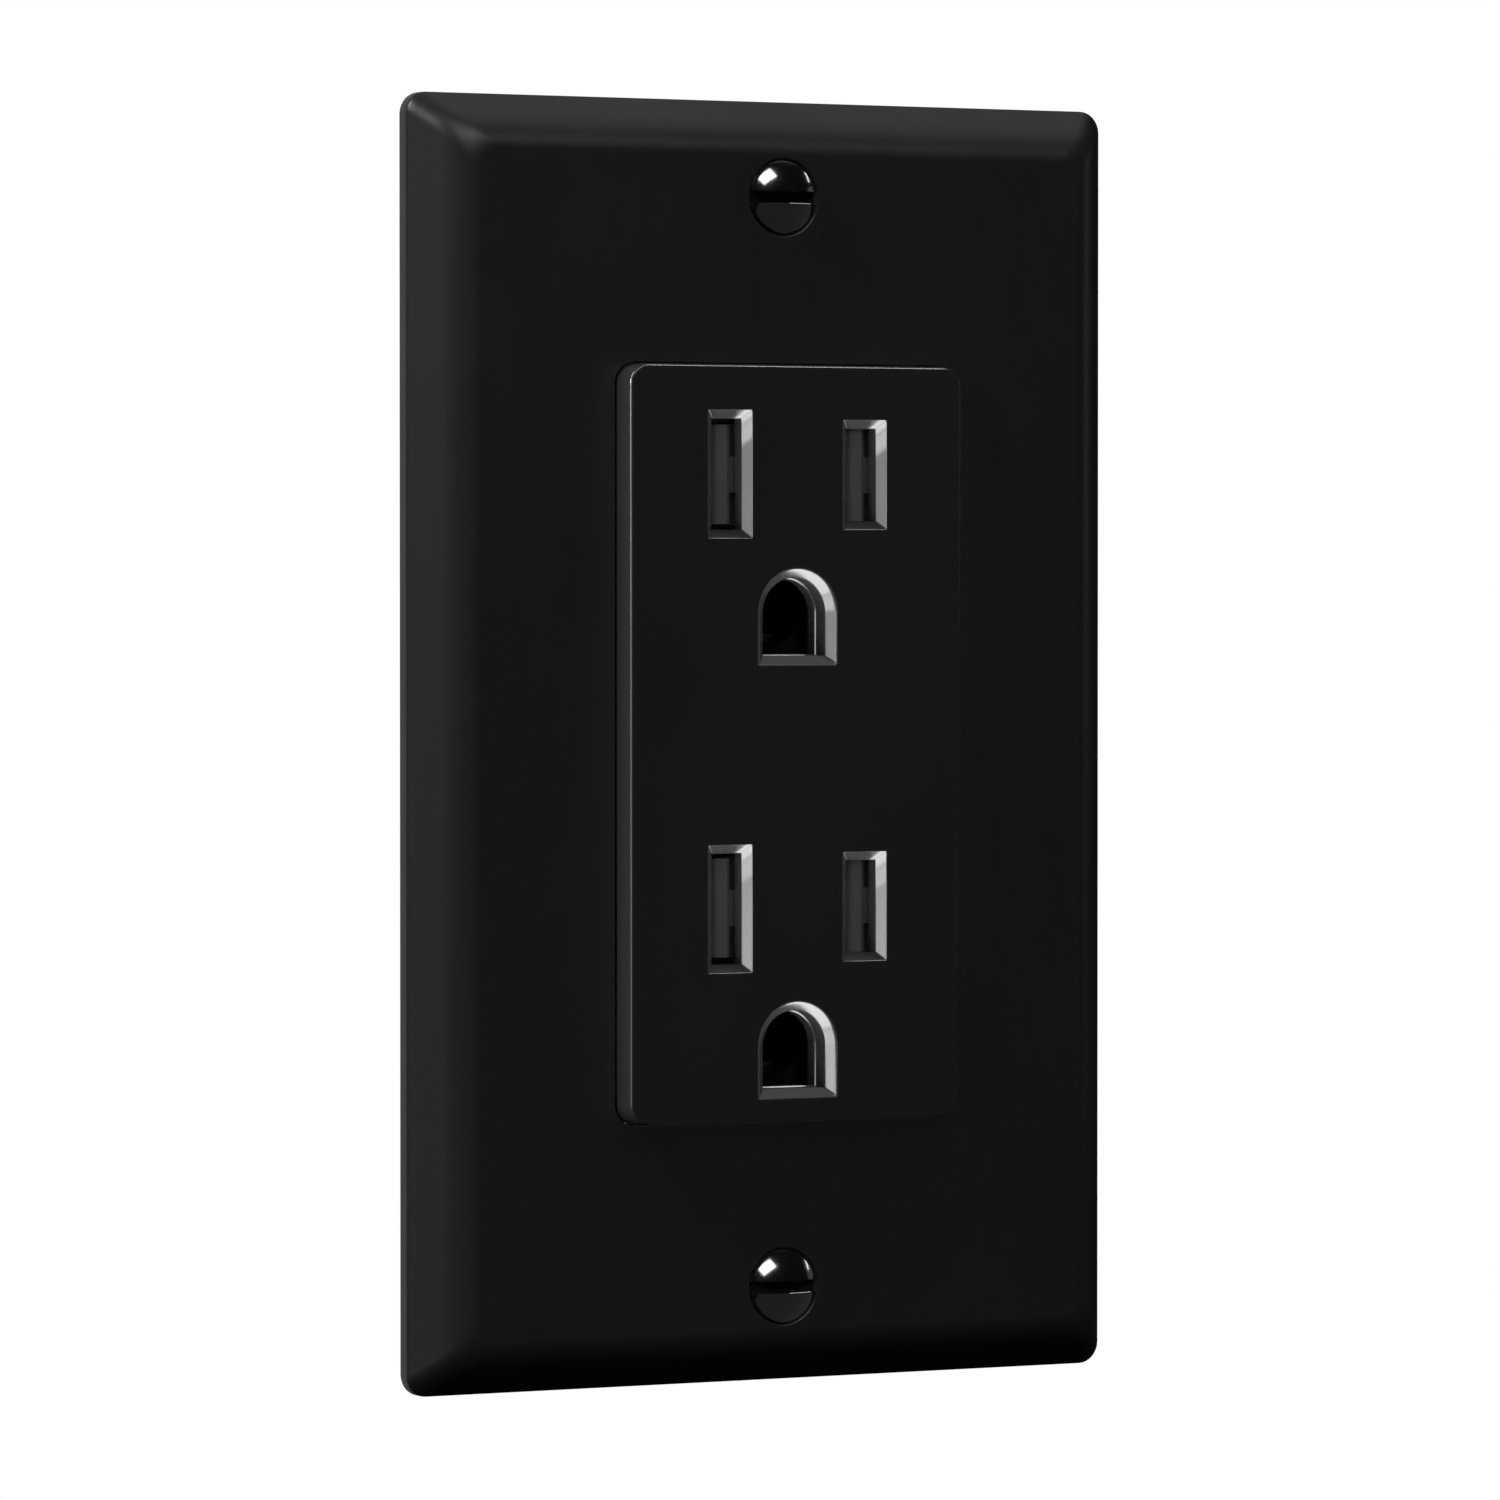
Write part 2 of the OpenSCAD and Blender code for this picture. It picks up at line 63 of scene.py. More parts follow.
PLATE_W, PLATE_H, PLATE_D, PLATE_R = 69.85, 114.3, 6.0, 1.9
FACE_W, FACE_H, FACE_Z, FACE_R = 33.2, 67.0, 8.7, 1.8
GAP = 0.17
WIN_W, WIN_H = FACE_W + 2 * GAP, FACE_H + 2 * GAP
PITCH = 19.2
SLOT_UP, SLOT_X, SLOT_W, NEUTRAL_H, LIVE_H, FUNNEL = 4.6, 6.75, 2.9, 9.8, 8.2, 0.75
EARTH_DOWN, EARTH_W, EARTH_H, YG = 8.0, 6.2, 6.9, 7.4
PLATE_SCREW, BOX_SCREW = 48.42, 41.67
INNER = FACE_Z - 2.0


# ------------------------------------------------------------------ mesh tools

def world(p):
    """Local millimetres to the row frame in metres."""
    return (p[0] * MM, -p[2] * MM, p[1] * MM)


def link(name, me):
    ob = bpy.data.objects.new(name, me)
    scene.collection.objects.link(ob)
    return ob


def solid(name, verts, faces, place=None):
    """A mesh object from local points, after an optional placing function."""
    pts = [place(p) if place else p for p in verts]
    me = bpy.data.meshes.new(name)
    me.from_pydata([world(p) for p in pts], [], faces)
    me.validate()
    bm = bmesh.new()
    bm.from_mesh(me)
    bmesh.ops.recalc_face_normals(bm, faces=bm.faces)
    bm.to_mesh(me)
    bm.free()
    return link(name, me)


def rounded(w, h, r, n=6):
    """Points round a rectangle with round corners."""
    r = max(min(r, w / 2 - 1e-4, h / 2 - 1e-4), 1e-4)
    pts = []
    for cx, cy, a0 in ((1, 1, 0), (-1, 1, 90), (-1, -1, 180), (1, -1, 270)):
        for k in range(n + 1):
            a = math.radians(a0 + 90 * k / n)
            pts.append((cx * (w / 2 - r) + r * math.cos(a),
                        cy * (h / 2 - r) + r * math.sin(a)))
    return pts


def arch(w, h, n=28, r=0.05):
    """Points round an arch: round top, flat bottom, centred on its own box."""
    c = h / 2 - w / 2
    pts = [(w / 2 * math.cos(math.pi * k / n), c + w / 2 * math.sin(math.pi * k / n))
           for k in range(n + 1)]
    for cx, a0 in ((-1, 180), (1, 270)):
        for k in range(4):
            a = math.radians(a0 + 90 * k / 3)
            pts.append((cx * (w / 2 - r) + r * math.cos(a), -h / 2 + r + r * math.sin(a)))
    return pts


def loft(rings, at=(0, 0), loop=False):
    """Skin over rings of equal point count; each ring is (points, z)."""
    n = len(rings[0][0])
    verts = [(p[0] + at[0], p[1] + at[1], z) for pts, z in rings for p in pts]
    faces = []
    m = len(rings)
    for i in range(m if loop else m - 1):
        a, b = i * n, ((i + 1) % m) * n
        faces += [(a + j, a + (j + 1) % n, b + (j + 1) % n, b + j) for j in range(n)]
    if not loop:
        faces.append(tuple(range(n - 1, -1, -1)))
        faces.append(tuple((m - 1) * n + j for j in range(n)))
    return verts, faces


def lathe(profile, n=48, at=(0, 0)):
    """Solid of revolution about z from (radius, z) points; ends on the axis."""
    verts, faces, rows = [], [], []
    for r, z in profile:
        if r < 1e-6:
            rows.append([len(verts)])
            verts.append((at[0], at[1], z))
        else:
            rows.append(list(range(len(verts), len(verts) + n)))
            verts += [(at[0] + r * math.cos(2 * math.pi * k / n),
                       at[1] + r * math.sin(2 * math.pi * k / n), z) for k in range(n)]
    for a, b in zip(rows, rows[1:]):
        for k in range(n):
            q = (k + 1) % n
            if len(a) == 1:
                faces.append((a[0], b[q], b[k]))
            elif len(b) == 1:
                faces.append((a[k], a[q], b[0]))
            else:
                faces.append((a[k], a[q], b[q], b[k]))
    return verts, faces


def rod(r, z0, z1, at=(0, 0), n=40, ease=0.0):
    e = ease
    prof = [(0, z0), (r - e, z0), (r, z0 + e), (r, z1 - e), (r - e, z1), (0, z1)] if e else \
           [(0, z0), (r, z0), (r, z1), (0, z1)]
    return lathe(prof, n, at)


def block(x0, x1, y0, y1, z0, z1, r=0.0):
    """Box with upright round edges of radius r."""
    x0, x1, y0, y1 = min(x0, x1), max(x0, x1), min(y0, y1), max(y0, y1)
    c = ((x0 + x1) / 2, (y0 + y1) / 2)
    if r > 0:
        pts = rounded(x1 - x0, y1 - y0, r, 4)
    else:
        w, h = (x1 - x0) / 2, (y1 - y0) / 2
        pts = [(w, h), (-w, h), (-w, -h), (w, -h)]
    return loft([(pts, min(z0, z1)), (pts, max(z0, z1))], c)


def bake(ob):
    bpy.context.view_layer.update()
    dg = bpy.context.evaluated_depsgraph_get()
    me = bpy.data.meshes.new_from_object(ob.evaluated_get(dg), depsgraph=dg)
    old = ob.data
    ob.modifiers.clear()
    ob.data = me
    if old.users == 0:
        bpy.data.meshes.remove(old)
    return ob


def tool(ob, op, *parts):
    """Adds or cuts each part in turn with an exact boolean."""
    for verts, faces in parts:
        c = solid("tool", verts, faces)
        m = ob.modifiers.new("b", "BOOLEAN")
        m.operation, m.object, m.solver = op, c, "EXACT"
        bake(ob)
        me = c.data
        bpy.data.objects.remove(c)
        bpy.data.meshes.remove(me)
    return ob


def cut(ob, *parts):
    return tool(ob, "DIFFERENCE", *parts)


def add(ob, *parts):
    return tool(ob, "UNION", *parts)


def tidy(ob, dist=2e-7, flat=0.3):
    """Welds stray points and dissolves faces that lie in one plane."""
    bm = bmesh.new()
    bm.from_mesh(ob.data)
    bmesh.ops.remove_doubles(bm, verts=bm.verts, dist=dist)
    bmesh.ops.dissolve_degenerate(bm, dist=dist, edges=bm.edges)
    if flat:
        bmesh.ops.dissolve_limit(bm, angle_limit=math.radians(flat), verts=bm.verts,
                                 edges=bm.edges, use_dissolve_boundaries=False)
    bmesh.ops.recalc_face_normals(bm, faces=bm.faces)
    bm.to_mesh(ob.data)
    bm.free()
    return ob


def ease(ob, width, angle=35, seg=2, test=None):
    """Rounds sharp edges by width (mm); test(mid point in local mm) can choose them."""
    m = ob.modifiers.new("ease", "BEVEL")
    m.width, m.segments, m.use_clamp_overlap = width * MM, seg, True
    if test is None:
        m.limit_method, m.angle_limit = "ANGLE", math.radians(angle)
    else:
        m.limit_method = "WEIGHT"
        me = ob.data
        bm = bmesh.new()
        bm.from_mesh(me)
        layer = bm.edges.layers.float.get("bevel_weight_edge") or \
            bm.edges.layers.float.new("bevel_weight_edge")
        for e in bm.edges:
            if len(e.link_faces) == 2 and e.calc_face_angle(0) > math.radians(angle):
                c = (e.verts[0].co + e.verts[1].co) / 2
                if test((c.x / MM, c.z / MM, -c.y / MM)):
                    e[layer] = 1.0
        bm.to_mesh(me)
        bm.free()
    return bake(ob)


def smooth(ob, angle=32):
    """Smooth shading with crisp edges over the angle, flat faces kept flat."""
    me = ob.data
    me.polygons.foreach_set("use_smooth", [True] * len(me.polygons))
    me.set_sharp_from_angle(angle=math.radians(angle))
    m = ob.modifiers.new("normals", "WEIGHTED_NORMAL")
    m.keep_sharp, m.weight, m.mode = True, 50, "FACE_AREA"
    return ob


def joined(name, parts):
    bm = bmesh.new()
    for ob in parts:
        bm.from_mesh(ob.data)
    me = bpy.data.meshes.new(name)
    bm.to_mesh(me)
    bm.free()
    for ob in parts:
        bpy.data.objects.remove(ob)
    return link(name, me)


def place(ob, mat, slot, body=BASE, stands_for=()):
    ob.data.materials.clear()
    ob.data.materials.append(mat)
    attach(ob, body)
    if stands_for:
        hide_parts(*stands_for)
    return ob


def from_cad(node, name):
    """A free copy of a CAD node's mesh, welded and with its flats dissolved."""
    me = N[node].data.copy()
    me.name = name
    me.materials.clear()
    ob = link(name, me)
    return tidy(ob, 1e-6, 1.0)


# ------------------------------------------------------------------ materials

def tree(name):
    m = bpy.data.materials.new(name)
    m.use_nodes = True
    nt = m.node_tree
    bsdf = nt.nodes["Principled BSDF"]
    co = nt.nodes.new("ShaderNodeTexCoord")
    return m, nt, bsdf, co.outputs["Object"]


def noise(nt, co, scale, detail=3.0, rough=0.55, stretch=None, dim="3D"):
    n = nt.nodes.new("ShaderNodeTexNoise")
    n.inputs["Scale"].default_value = scale
    n.inputs["Detail"].default_value = detail
    n.inputs["Roughness"].default_value = rough
    if stretch:
        mp = nt.nodes.new("ShaderNodeMapping")
        mp.inputs["Scale"].default_value = stretch
        nt.links.new(co, mp.inputs["Vector"])
        co = mp.outputs["Vector"]
    nt.links.new(co, n.inputs["Vector"])
    return n.outputs["Fac"]


def ramp(nt, fac, lo, hi, a=0.0, b=1.0):
    r = nt.nodes.new("ShaderNodeMapRange")
    r.interpolation_type = "SMOOTHSTEP"
    r.inputs["From Min"].default_value, r.inputs["From Max"].default_value = lo, hi
    r.inputs["To Min"].default_value, r.inputs["To Max"].default_value = a, b
    nt.links.new(fac, r.inputs["Value"])
    return r.outputs["Result"]


def math_node(nt, op, a, b=None, clamp=False):
    n = nt.nodes.new("ShaderNodeMath")
    n.operation, n.use_clamp = op, clamp
    for i, v in enumerate((a, b)):
        if v is None:
            continue
        if isinstance(v, (int, float)):
            n.inputs[i].default_value = v
        else:
            nt.links.new(v, n.inputs[i])
    return n.outputs["Value"]


def mix_col(nt, fac, a, b):
    n = nt.nodes.new("ShaderNodeMix")
    n.data_type = "RGBA"
    nt.links.new(fac, n.inputs["Factor"])
    for s, v in (("A", a), ("B", b)):
        sock = [i for i in n.inputs if i.name == s and i.type == "RGBA"][0]
        if isinstance(v, tuple):
            sock.default_value = (*v, 1)
        else:
            nt.links.new(v, sock)
    return [o for o in n.outputs if o.type == "RGBA"][0]


def edges(nt, radius):
    """1 on convex and concave edges within the radius (m), 0 on flats."""
    bv = nt.nodes.new("ShaderNodeBevel")
    bv.samples = 4
    bv.inputs["Radius"].default_value = radius
    geo = nt.nodes.new("ShaderNodeNewGeometry")
    dot = nt.nodes.new("ShaderNodeVectorMath")
    dot.operation = "DOT_PRODUCT"
    nt.links.new(bv.outputs["Normal"], dot.inputs[0])
    nt.links.new(geo.outputs["Normal"], dot.inputs[1])
    return ramp(nt, math_node(nt, "SUBTRACT", 1.0, dot.outputs["Value"]), 0.01, 0.14)


def bump(nt, bsdf, layers):
    prev = None
    for height, dist in layers:
        b = nt.nodes.new("ShaderNodeBump")
        b.inputs["Strength"].default_value = 1.0
        b.inputs["Distance"].default_value = dist
        nt.links.new(height, b.inputs["Height"])
        if prev is not None:
            nt.links.new(prev, b.inputs["Normal"])
        prev = b.outputs["Normal"]
    nt.links.new(prev, bsdf.inputs["Normal"])


def plastic(name, col, rough, spec=0.5, grain=6e-6, grain_scale=2600, var=0.35,
            edge=None, dust=None, sub=0.0, coat=0.0, flow_bump=1.5e-6, patchy=1.0):
    """Moulded plastic: fine spark-eroded grain, faint flow marks, handled edges."""
    m, nt, bsdf, co = tree(name)
    fine = noise(nt, co, grain_scale, 3, 0.6)
    flow = noise(nt, co, 55, 3, 0.5, (1, 1, 0.45))
    smear = noise(nt, co, 260, 4, 0.65, (1, 1, 0.35))
    c = mix_col(nt, ramp(nt, flow, 0.3, 0.7), tuple(v * (1 - var / 2) for v in col),
                tuple(v * (1 + var / 2) for v in col))
    r = math_node(nt, "ADD", ramp(nt, smear, 0.25, 0.75, -0.035 * patchy, 0.035 * patchy),
                  ramp(nt, fine, 0.3, 0.7, rough - 0.02 * patchy, rough + 0.03 * patchy))
    if dust:
        c = mix_col(nt, ramp(nt, noise(nt, co, 900, 5, 0.7), 0.66, 0.82, 0, 0.25), c, dust)
    if edge:
        e = edges(nt, 0.00035)
        worn = math_node(nt, "MULTIPLY", e, ramp(nt, noise(nt, co, 420, 4, 0.7), 0.35, 0.7, 0.35, 1))
        c = mix_col(nt, worn, c, edge)
        r = math_node(nt, "SUBTRACT", r, math_node(nt, "MULTIPLY", worn, 0.08))
    nt.links.new(c, bsdf.inputs["Base Color"])
    nt.links.new(r, bsdf.inputs["Roughness"])
    bsdf.inputs["Specular IOR Level"].default_value = spec
    if coat:
        bsdf.inputs["Coat Weight"].default_value = coat
        bsdf.inputs["Coat Roughness"].default_value = 0.12
    if sub:
        bsdf.inputs["Subsurface Weight"].default_value = sub
        bsdf.inputs["Subsurface Scale"].default_value = 0.001
    bump(nt, bsdf, [(smear, flow_bump), (fine, grain)])
    return m


def metal(name, col, rough, tarnish, grain=3e-6, stretch=(1, 1, 0.06), spots=0.3, edge=None):
    """Rolled or plated metal: directional grain, tarnish patches, bright edges."""
    m, nt, bsdf, co = tree(name)
    lines = noise(nt, co, 1500, 4, 0.65, stretch)
    cloud = noise(nt, co, 240, 4, 0.6)
    speck = noise(nt, co, 1900, 4, 0.7)
    c = mix_col(nt, ramp(nt, cloud, 0.35, 0.75, 0, spots), col, tarnish)
    c = mix_col(nt, ramp(nt, speck, 0.6, 0.78, 0, 0.35), c, tarnish)
    r = math_node(nt, "ADD", ramp(nt, lines, 0.25, 0.75, rough - 0.07, rough + 0.07),
                  ramp(nt, cloud, 0.35, 0.75, 0, 0.12))
    if edge:
        e = edges(nt, 0.00025)
        c = mix_col(nt, math_node(nt, "MULTIPLY", e, 0.7), c, edge)
        r = math_node(nt, "SUBTRACT", r, math_node(nt, "MULTIPLY", e, 0.1))
    nt.links.new(c, bsdf.inputs["Base Color"])
    nt.links.new(r, bsdf.inputs["Roughness"])
    bsdf.inputs["Metallic"].default_value = 1.0
    bump(nt, bsdf, [(lines, grain), (speck, grain * 0.7)])
    return m


def painted(name, col, rough):
    """Gloss paint over steel, with orange peel and a few bare specks."""
    m, nt, bsdf, co = tree(name)
    peel = noise(nt, co, 900, 2, 0.5)
    fine = noise(nt, co, 3200, 3, 0.6)
    chip = ramp(nt, noise(nt, co, 2100, 4, 0.75), 0.74, 0.78)
    e = edges(nt, 0.0002)
    bare = math_node(nt, "MULTIPLY", e, chip, True)
    c = mix_col(nt, ramp(nt, fine, 0.3, 0.7), tuple(v * 0.8 for v in col), tuple(v * 1.2 for v in col))
    c = mix_col(nt, bare, c, (0.32, 0.32, 0.33))
    nt.links.new(c, bsdf.inputs["Base Color"])
    nt.links.new(ramp(nt, fine, 0.2, 0.8, rough - 0.03, rough + 0.04), bsdf.inputs["Roughness"])
    nt.links.new(bare, bsdf.inputs["Metallic"])
    bsdf.inputs["Coat Weight"].default_value = 0.6
    bsdf.inputs["Coat Roughness"].default_value = 0.05
    bump(nt, bsdf, [(peel, 1.2e-6), (fine, 0.5e-6)])
    return m


def card(name):
    m, nt, bsdf, co = tree(name)
    fibre = noise(nt, co, 1400, 6, 0.75, (0.25, 1, 1))
    blot = noise(nt, co, 350, 3, 0.6)
    c = mix_col(nt, ramp(nt, fibre, 0.3, 0.7), (0.33, 0.205, 0.10), (0.50, 0.35, 0.20))
    c = mix_col(nt, ramp(nt, blot, 0.4, 0.8, 0, 0.5), c, (0.26, 0.16, 0.08))
    nt.links.new(c, bsdf.inputs["Base Color"])
    bsdf.inputs["Roughness"].default_value = 0.88
    bump(nt, bsdf, [(fibre, 2.5e-5), (blot, 1.5e-5)])
    return m


M_PLATE = plastic("plate_plastic", (0.030, 0.030, 0.0303), 0.36, 0.5, 2.4e-6, 2600, 0.10,
                  edge=(0.032, 0.032, 0.032))
M_FACE = plastic("face_plastic", (0.0225, 0.0225, 0.0228), 0.20, 0.9, 0.5e-6, 3000, 0.12,
                 flow_bump=0.4e-6, patchy=0.15)
M_BODY = plastic("body_plastic", (0.028, 0.028, 0.030), 0.46, 0.5, 9e-6, 1800, 0.25,
                 edge=(0.05, 0.05, 0.052), dust=(0.06, 0.06, 0.06))
# painted shade: a darker copy of the face plastic for the linings deep inside the earth holes, also rougher and duller
M_FACE_PAINTED_SHADE = plastic("face_plastic_painted_shade", (0.008, 0.008, 0.0081), 0.50, 0.3, 1.5e-6, 2600, 0.10)
M_SCREW = painted("black_screw", (0.003, 0.003, 0.003), 0.14)
M_ZINC = metal("zinc_steel", (0.60, 0.61, 0.62), 0.34, (0.40, 0.41, 0.41), edge=(0.78, 0.78, 0.79))
M_BRASS = metal("brass", (0.70, 0.50, 0.22), 0.30, (0.42, 0.27, 0.11), edge=(0.85, 0.66, 0.34))
M_NICKEL = metal("nickel", (0.66, 0.64, 0.60), 0.26, (0.50, 0.47, 0.42), edge=(0.82, 0.80, 0.76))
M_GREEN = metal("green_screw", (0.07, 0.30, 0.12), 0.30, (0.03, 0.16, 0.06), edge=(0.40, 0.55, 0.38))
M_SHUTTER = plastic("shutter_plastic", (0.038, 0.039, 0.040), 0.48, 0.4, 4e-6, 2600, 0.15)
M_GUIDE = plastic("guide_plastic", (0.62, 0.60, 0.54), 0.42, 0.45, 5e-6, 2200, 0.06, sub=0.25)
M_SPRING = metal("spring_steel", (0.62, 0.62, 0.62), 0.22, (0.45, 0.44, 0.42), 1e-6, (1, 1, 1))
M_CARD = card("card")

# ------------------------------------------------------------------ wall plate

def wall_plate():
    def ring(inset, z, r=PLATE_R, n=8):
        return (rounded(PLATE_W - 2 * inset, PLATE_H - 2 * inset, r, n), z)

    def win(grow, z, n=8):
        return (rounded(WIN_W + 2 * grow, WIN_H + 2 * grow, FACE_R + GAP + grow, n), z)

    rings = [ring(0.15, 0), ring(0.04, 0.04), ring(0, 0.15), ring(0, 1.25), ring(0.015, 1.42),
             ring(0.07, 1.58), ring(0.17, 1.74)]
    rings += [ring(1.6 * k, 1.5 + 2.2 * k) for k in (0.3, 0.6, 0.9)]
    for k in range(15):
        t = k / 14
        rings.append(ring((1 - t) ** 2 * 1.6 + 2 * t * (1 - t) * 3.27 + t * t * 5.0,
                          (1 - t) ** 2 * 3.7 + 2 * t * (1 - t) * 6.0 + t * t * 6.0))
    rings += [ring(6.5, 6.0)]
    f = 0.1
    for k in range(5):
        a = math.radians(90 * k / 4)
        rings.append(win(f * (1 - math.sin(a)), PLATE_D - f * (1 - math.cos(a))))
    rings += [win(0, 2.15), win(0.12, 2.0), win(1.18, 2.0), win(1.3, 2.12), win(1.3, 3.75),
              win(1.45, 3.9)]
    rings += [(rounded(PLATE_W - 11.4, PLATE_H - 11.4, 1, 8), 3.9),
              (rounded(PLATE_W - 10.6, PLATE_H - 10.6, 1, 8), 3.82),
              (rounded(PLATE_W - 7.4, PLATE_H - 7.4, 1, 8), 3.2),
              (rounded(PLATE_W - 4.2, PLATE_H - 4.2, 1, 8), 1.5),
              (rounded(PLATE_W - 4.0, PLATE_H - 4.0, 1, 8), 1.3),
              (rounded(PLATE_W - 4.0, PLATE_H - 4.0, 1, 8), 0.12),
              (rounded(PLATE_W - 3.76, PLATE_H - 3.76, 1, 8), 0.0)]
    ob = solid("wall_plate_shell", *loft(rings, loop=True))
    for s in (-1, 1):
        c = (0, s * PLATE_SCREW)
        add(ob, lathe([(0, 1.4), (2.55, 1.4), (2.7, 1.55), (2.7, 4.4), (0, 4.4)], 40, c))
        for x in (-22.5, 22.5):
            add(ob, block(x - 0.6, x + 0.6, s * 8, s * 50, 2.4, 4.3, 0.3))
        for y in (-22, 22):
            add(ob, block(s * 17.4, s * 31.2, y - 0.6, y + 0.6, 2.62, 4.36, 0.25))
        k = 3.5 - 1.9 * 0.869
        cut(ob, lathe([(0, 0.5), (2.1, 0.5), (2.0, 1.55), (2.0, 4.45), (k + (4.45 - 4.1) * 0.869, 4.45),
                       (3.43, 5.92), (3.49, 5.972), (3.58, 6.0), (3.6, 7), (0, 7)], 64, c))
        # ejector marks inside
        for x in (-27.5, 27.5):
            cut(ob, rod(1.8, 3.5, 4.0, (x, s * 46), 32))
    tidy(ob, flat=0)
    return smooth(ob, 38)


place(wall_plate(), M_PLATE, "plate_plastic", BASE, ["wall_plate"])

# ------------------------------------------------------------------ device face

def device_face():
    def ring(inset, z):
        return (rounded(FACE_W - 2 * inset, FACE_H - 2 * inset, FACE_R - inset * 0.9, 10), z)

    f = 0.28
    rings = [ring(0.1, 0), ring(0, 0.1)]
    for k in range(6):
        a = math.radians(90 * k / 5)
        rings.append(ring(f * (1 - math.cos(a)), FACE_Z - f * (1 - math.sin(a))))
    ob = solid("device_face_cover", *loft(rings))
    cut(ob, block(-15.1, 15.1, -32, 32, -1, INNER, 0.4))
    for s in (-1, 1):
        cut(ob, block(-14.62, 14.62, s * 31, s * 40, -1, 1.32))
        add(ob, block(s * 14.9, s * 16.15, -19.6, 19.6, -4.6, 1, 0.2))
    for x in (-12.2, 12.2):
        for y in (-30.7, 30.7):
            add(ob, rod(2, 1.32, INNER + 0.5, (x, y), 32, 0))
    add(ob, block(-15.2, 15.2, -0.6, 0.6, 2.6, INNER + 0.5))
    for y in (PITCH, -PITCH):
        c = (0, y - EARTH_DOWN)
        add(ob, loft([(arch(EARTH_W + 2, EARTH_H + 2), 4.95), (arch(EARTH_W + 2, EARTH_H + 2), INNER + 0.5)], c))
    for x in (-12.2, 12.2):
        for y in (-30.7, 30.7):
            cut(ob, rod(1.27, -1, INNER - 0.4, (x, y), 26))
    for y in (PITCH, -PITCH):
        for x, h in ((-SLOT_X, NEUTRAL_H), (SLOT_X, LIVE_H)):
            g, w = FUNNEL, SLOT_W

            def sr(grow, z, r=0.1):
                pts = rounded(w + 2 * grow, h + 2 * grow, r, 3)
                # extra points where the sheen of the right and top slopes turns
                pts.insert(4, (w / 2 + grow - 1.5, h / 2 + grow))
                pts.append((w / 2 + grow, h / 2 + grow - 2.75))
                return (pts, z)
            b = FACE_Z - g
            cut(ob, loft([sr(0, 3), sr(0, b - 0.07), sr(0.012, b - 0.03), sr(0.05, b + 0.03),
                          sr(0.09, b + 0.08), sr(g - 0.05, FACE_Z - 0.055), sr(g - 0.02, FACE_Z - 0.028),
                          sr(g + 0.01, FACE_Z - 0.008), sr(g + 0.035, FACE_Z), sr(g + 0.04, FACE_Z + 1)],
                         (x, y + SLOT_UP)))
        c = (0, y - EARTH_DOWN)
        W, H, g, b = EARTH_W, EARTH_H, FUNNEL, FACE_Z - FUNNEL

        def ar(grow, z):
            return (arch(W + 2 * grow, H + 2 * grow, 36, 0.05 + max(grow, 0) * 0.15), z)
        cut(ob, loft([ar(0.2, 2), ar(0.2, 4.9), ar(-0.15, 5.0), ar(-0.15, 6.05), ar(-0.135, 6.14),
                      ar(-0.09, 6.22), ar(0.0, 6.27), ar(0.0, b - 0.1), ar(0.015, b - 0.04),
                      ar(0.06, b + 0.03), ar(0.12, b + 0.10), ar(g - 0.10, FACE_Z - 0.12),
                      ar(g - 0.03, FACE_Z - 0.06), ar(g + 0.05, FACE_Z - 0.016), ar(g + 0.14, FACE_Z),
                      ar(g + 0.15, FACE_Z + 1)], c))
    # the mouths of the holes are an object of their own, cut along the chamfers' outer edges
    prisms = []
    for y in (PITCH, -PITCH):
        for x, h in ((-SLOT_X, NEUTRAL_H), (SLOT_X, LIVE_H)):
            e = 2 * (FUNNEL + 0.04)
            pts = rounded(SLOT_W + e, h + e, 0.1, 3)
            prisms.append(solid("prism", *loft([(pts, 5.5), (pts, FACE_Z + 1)], (x, y + SLOT_UP))))
        wide = arch(EARTH_W + 2.4, EARTH_H + 2.4, 36, 0.1)
        e = FUNNEL + 0.145
        tight = arch(EARTH_W + 2 * e, EARTH_H + 2 * e, 36, 0.05 + e * 0.15)
        prisms.append(solid("prism", *loft([(wide, 4.5), (wide, FACE_Z - 1.1), (tight, FACE_Z - 1.1 + 0.01),
                                            (tight, FACE_Z + 1)], (0, y - EARTH_DOWN))))
    prism = joined("prisms", prisms)
    mouths = link("device_face_mouths", ob.data.copy())
    for target, op in ((mouths, "INTERSECT"), (ob, "DIFFERENCE")):
        m = target.modifiers.new("b", "BOOLEAN")
        m.operation, m.object, m.solver = op, prism, "EXACT"
        bake(target)
        tidy(target, flat=0)
    bpy.data.objects.remove(prism)
    return [blend_corners(smooth(o, 30)) for o in (ob, mouths)]


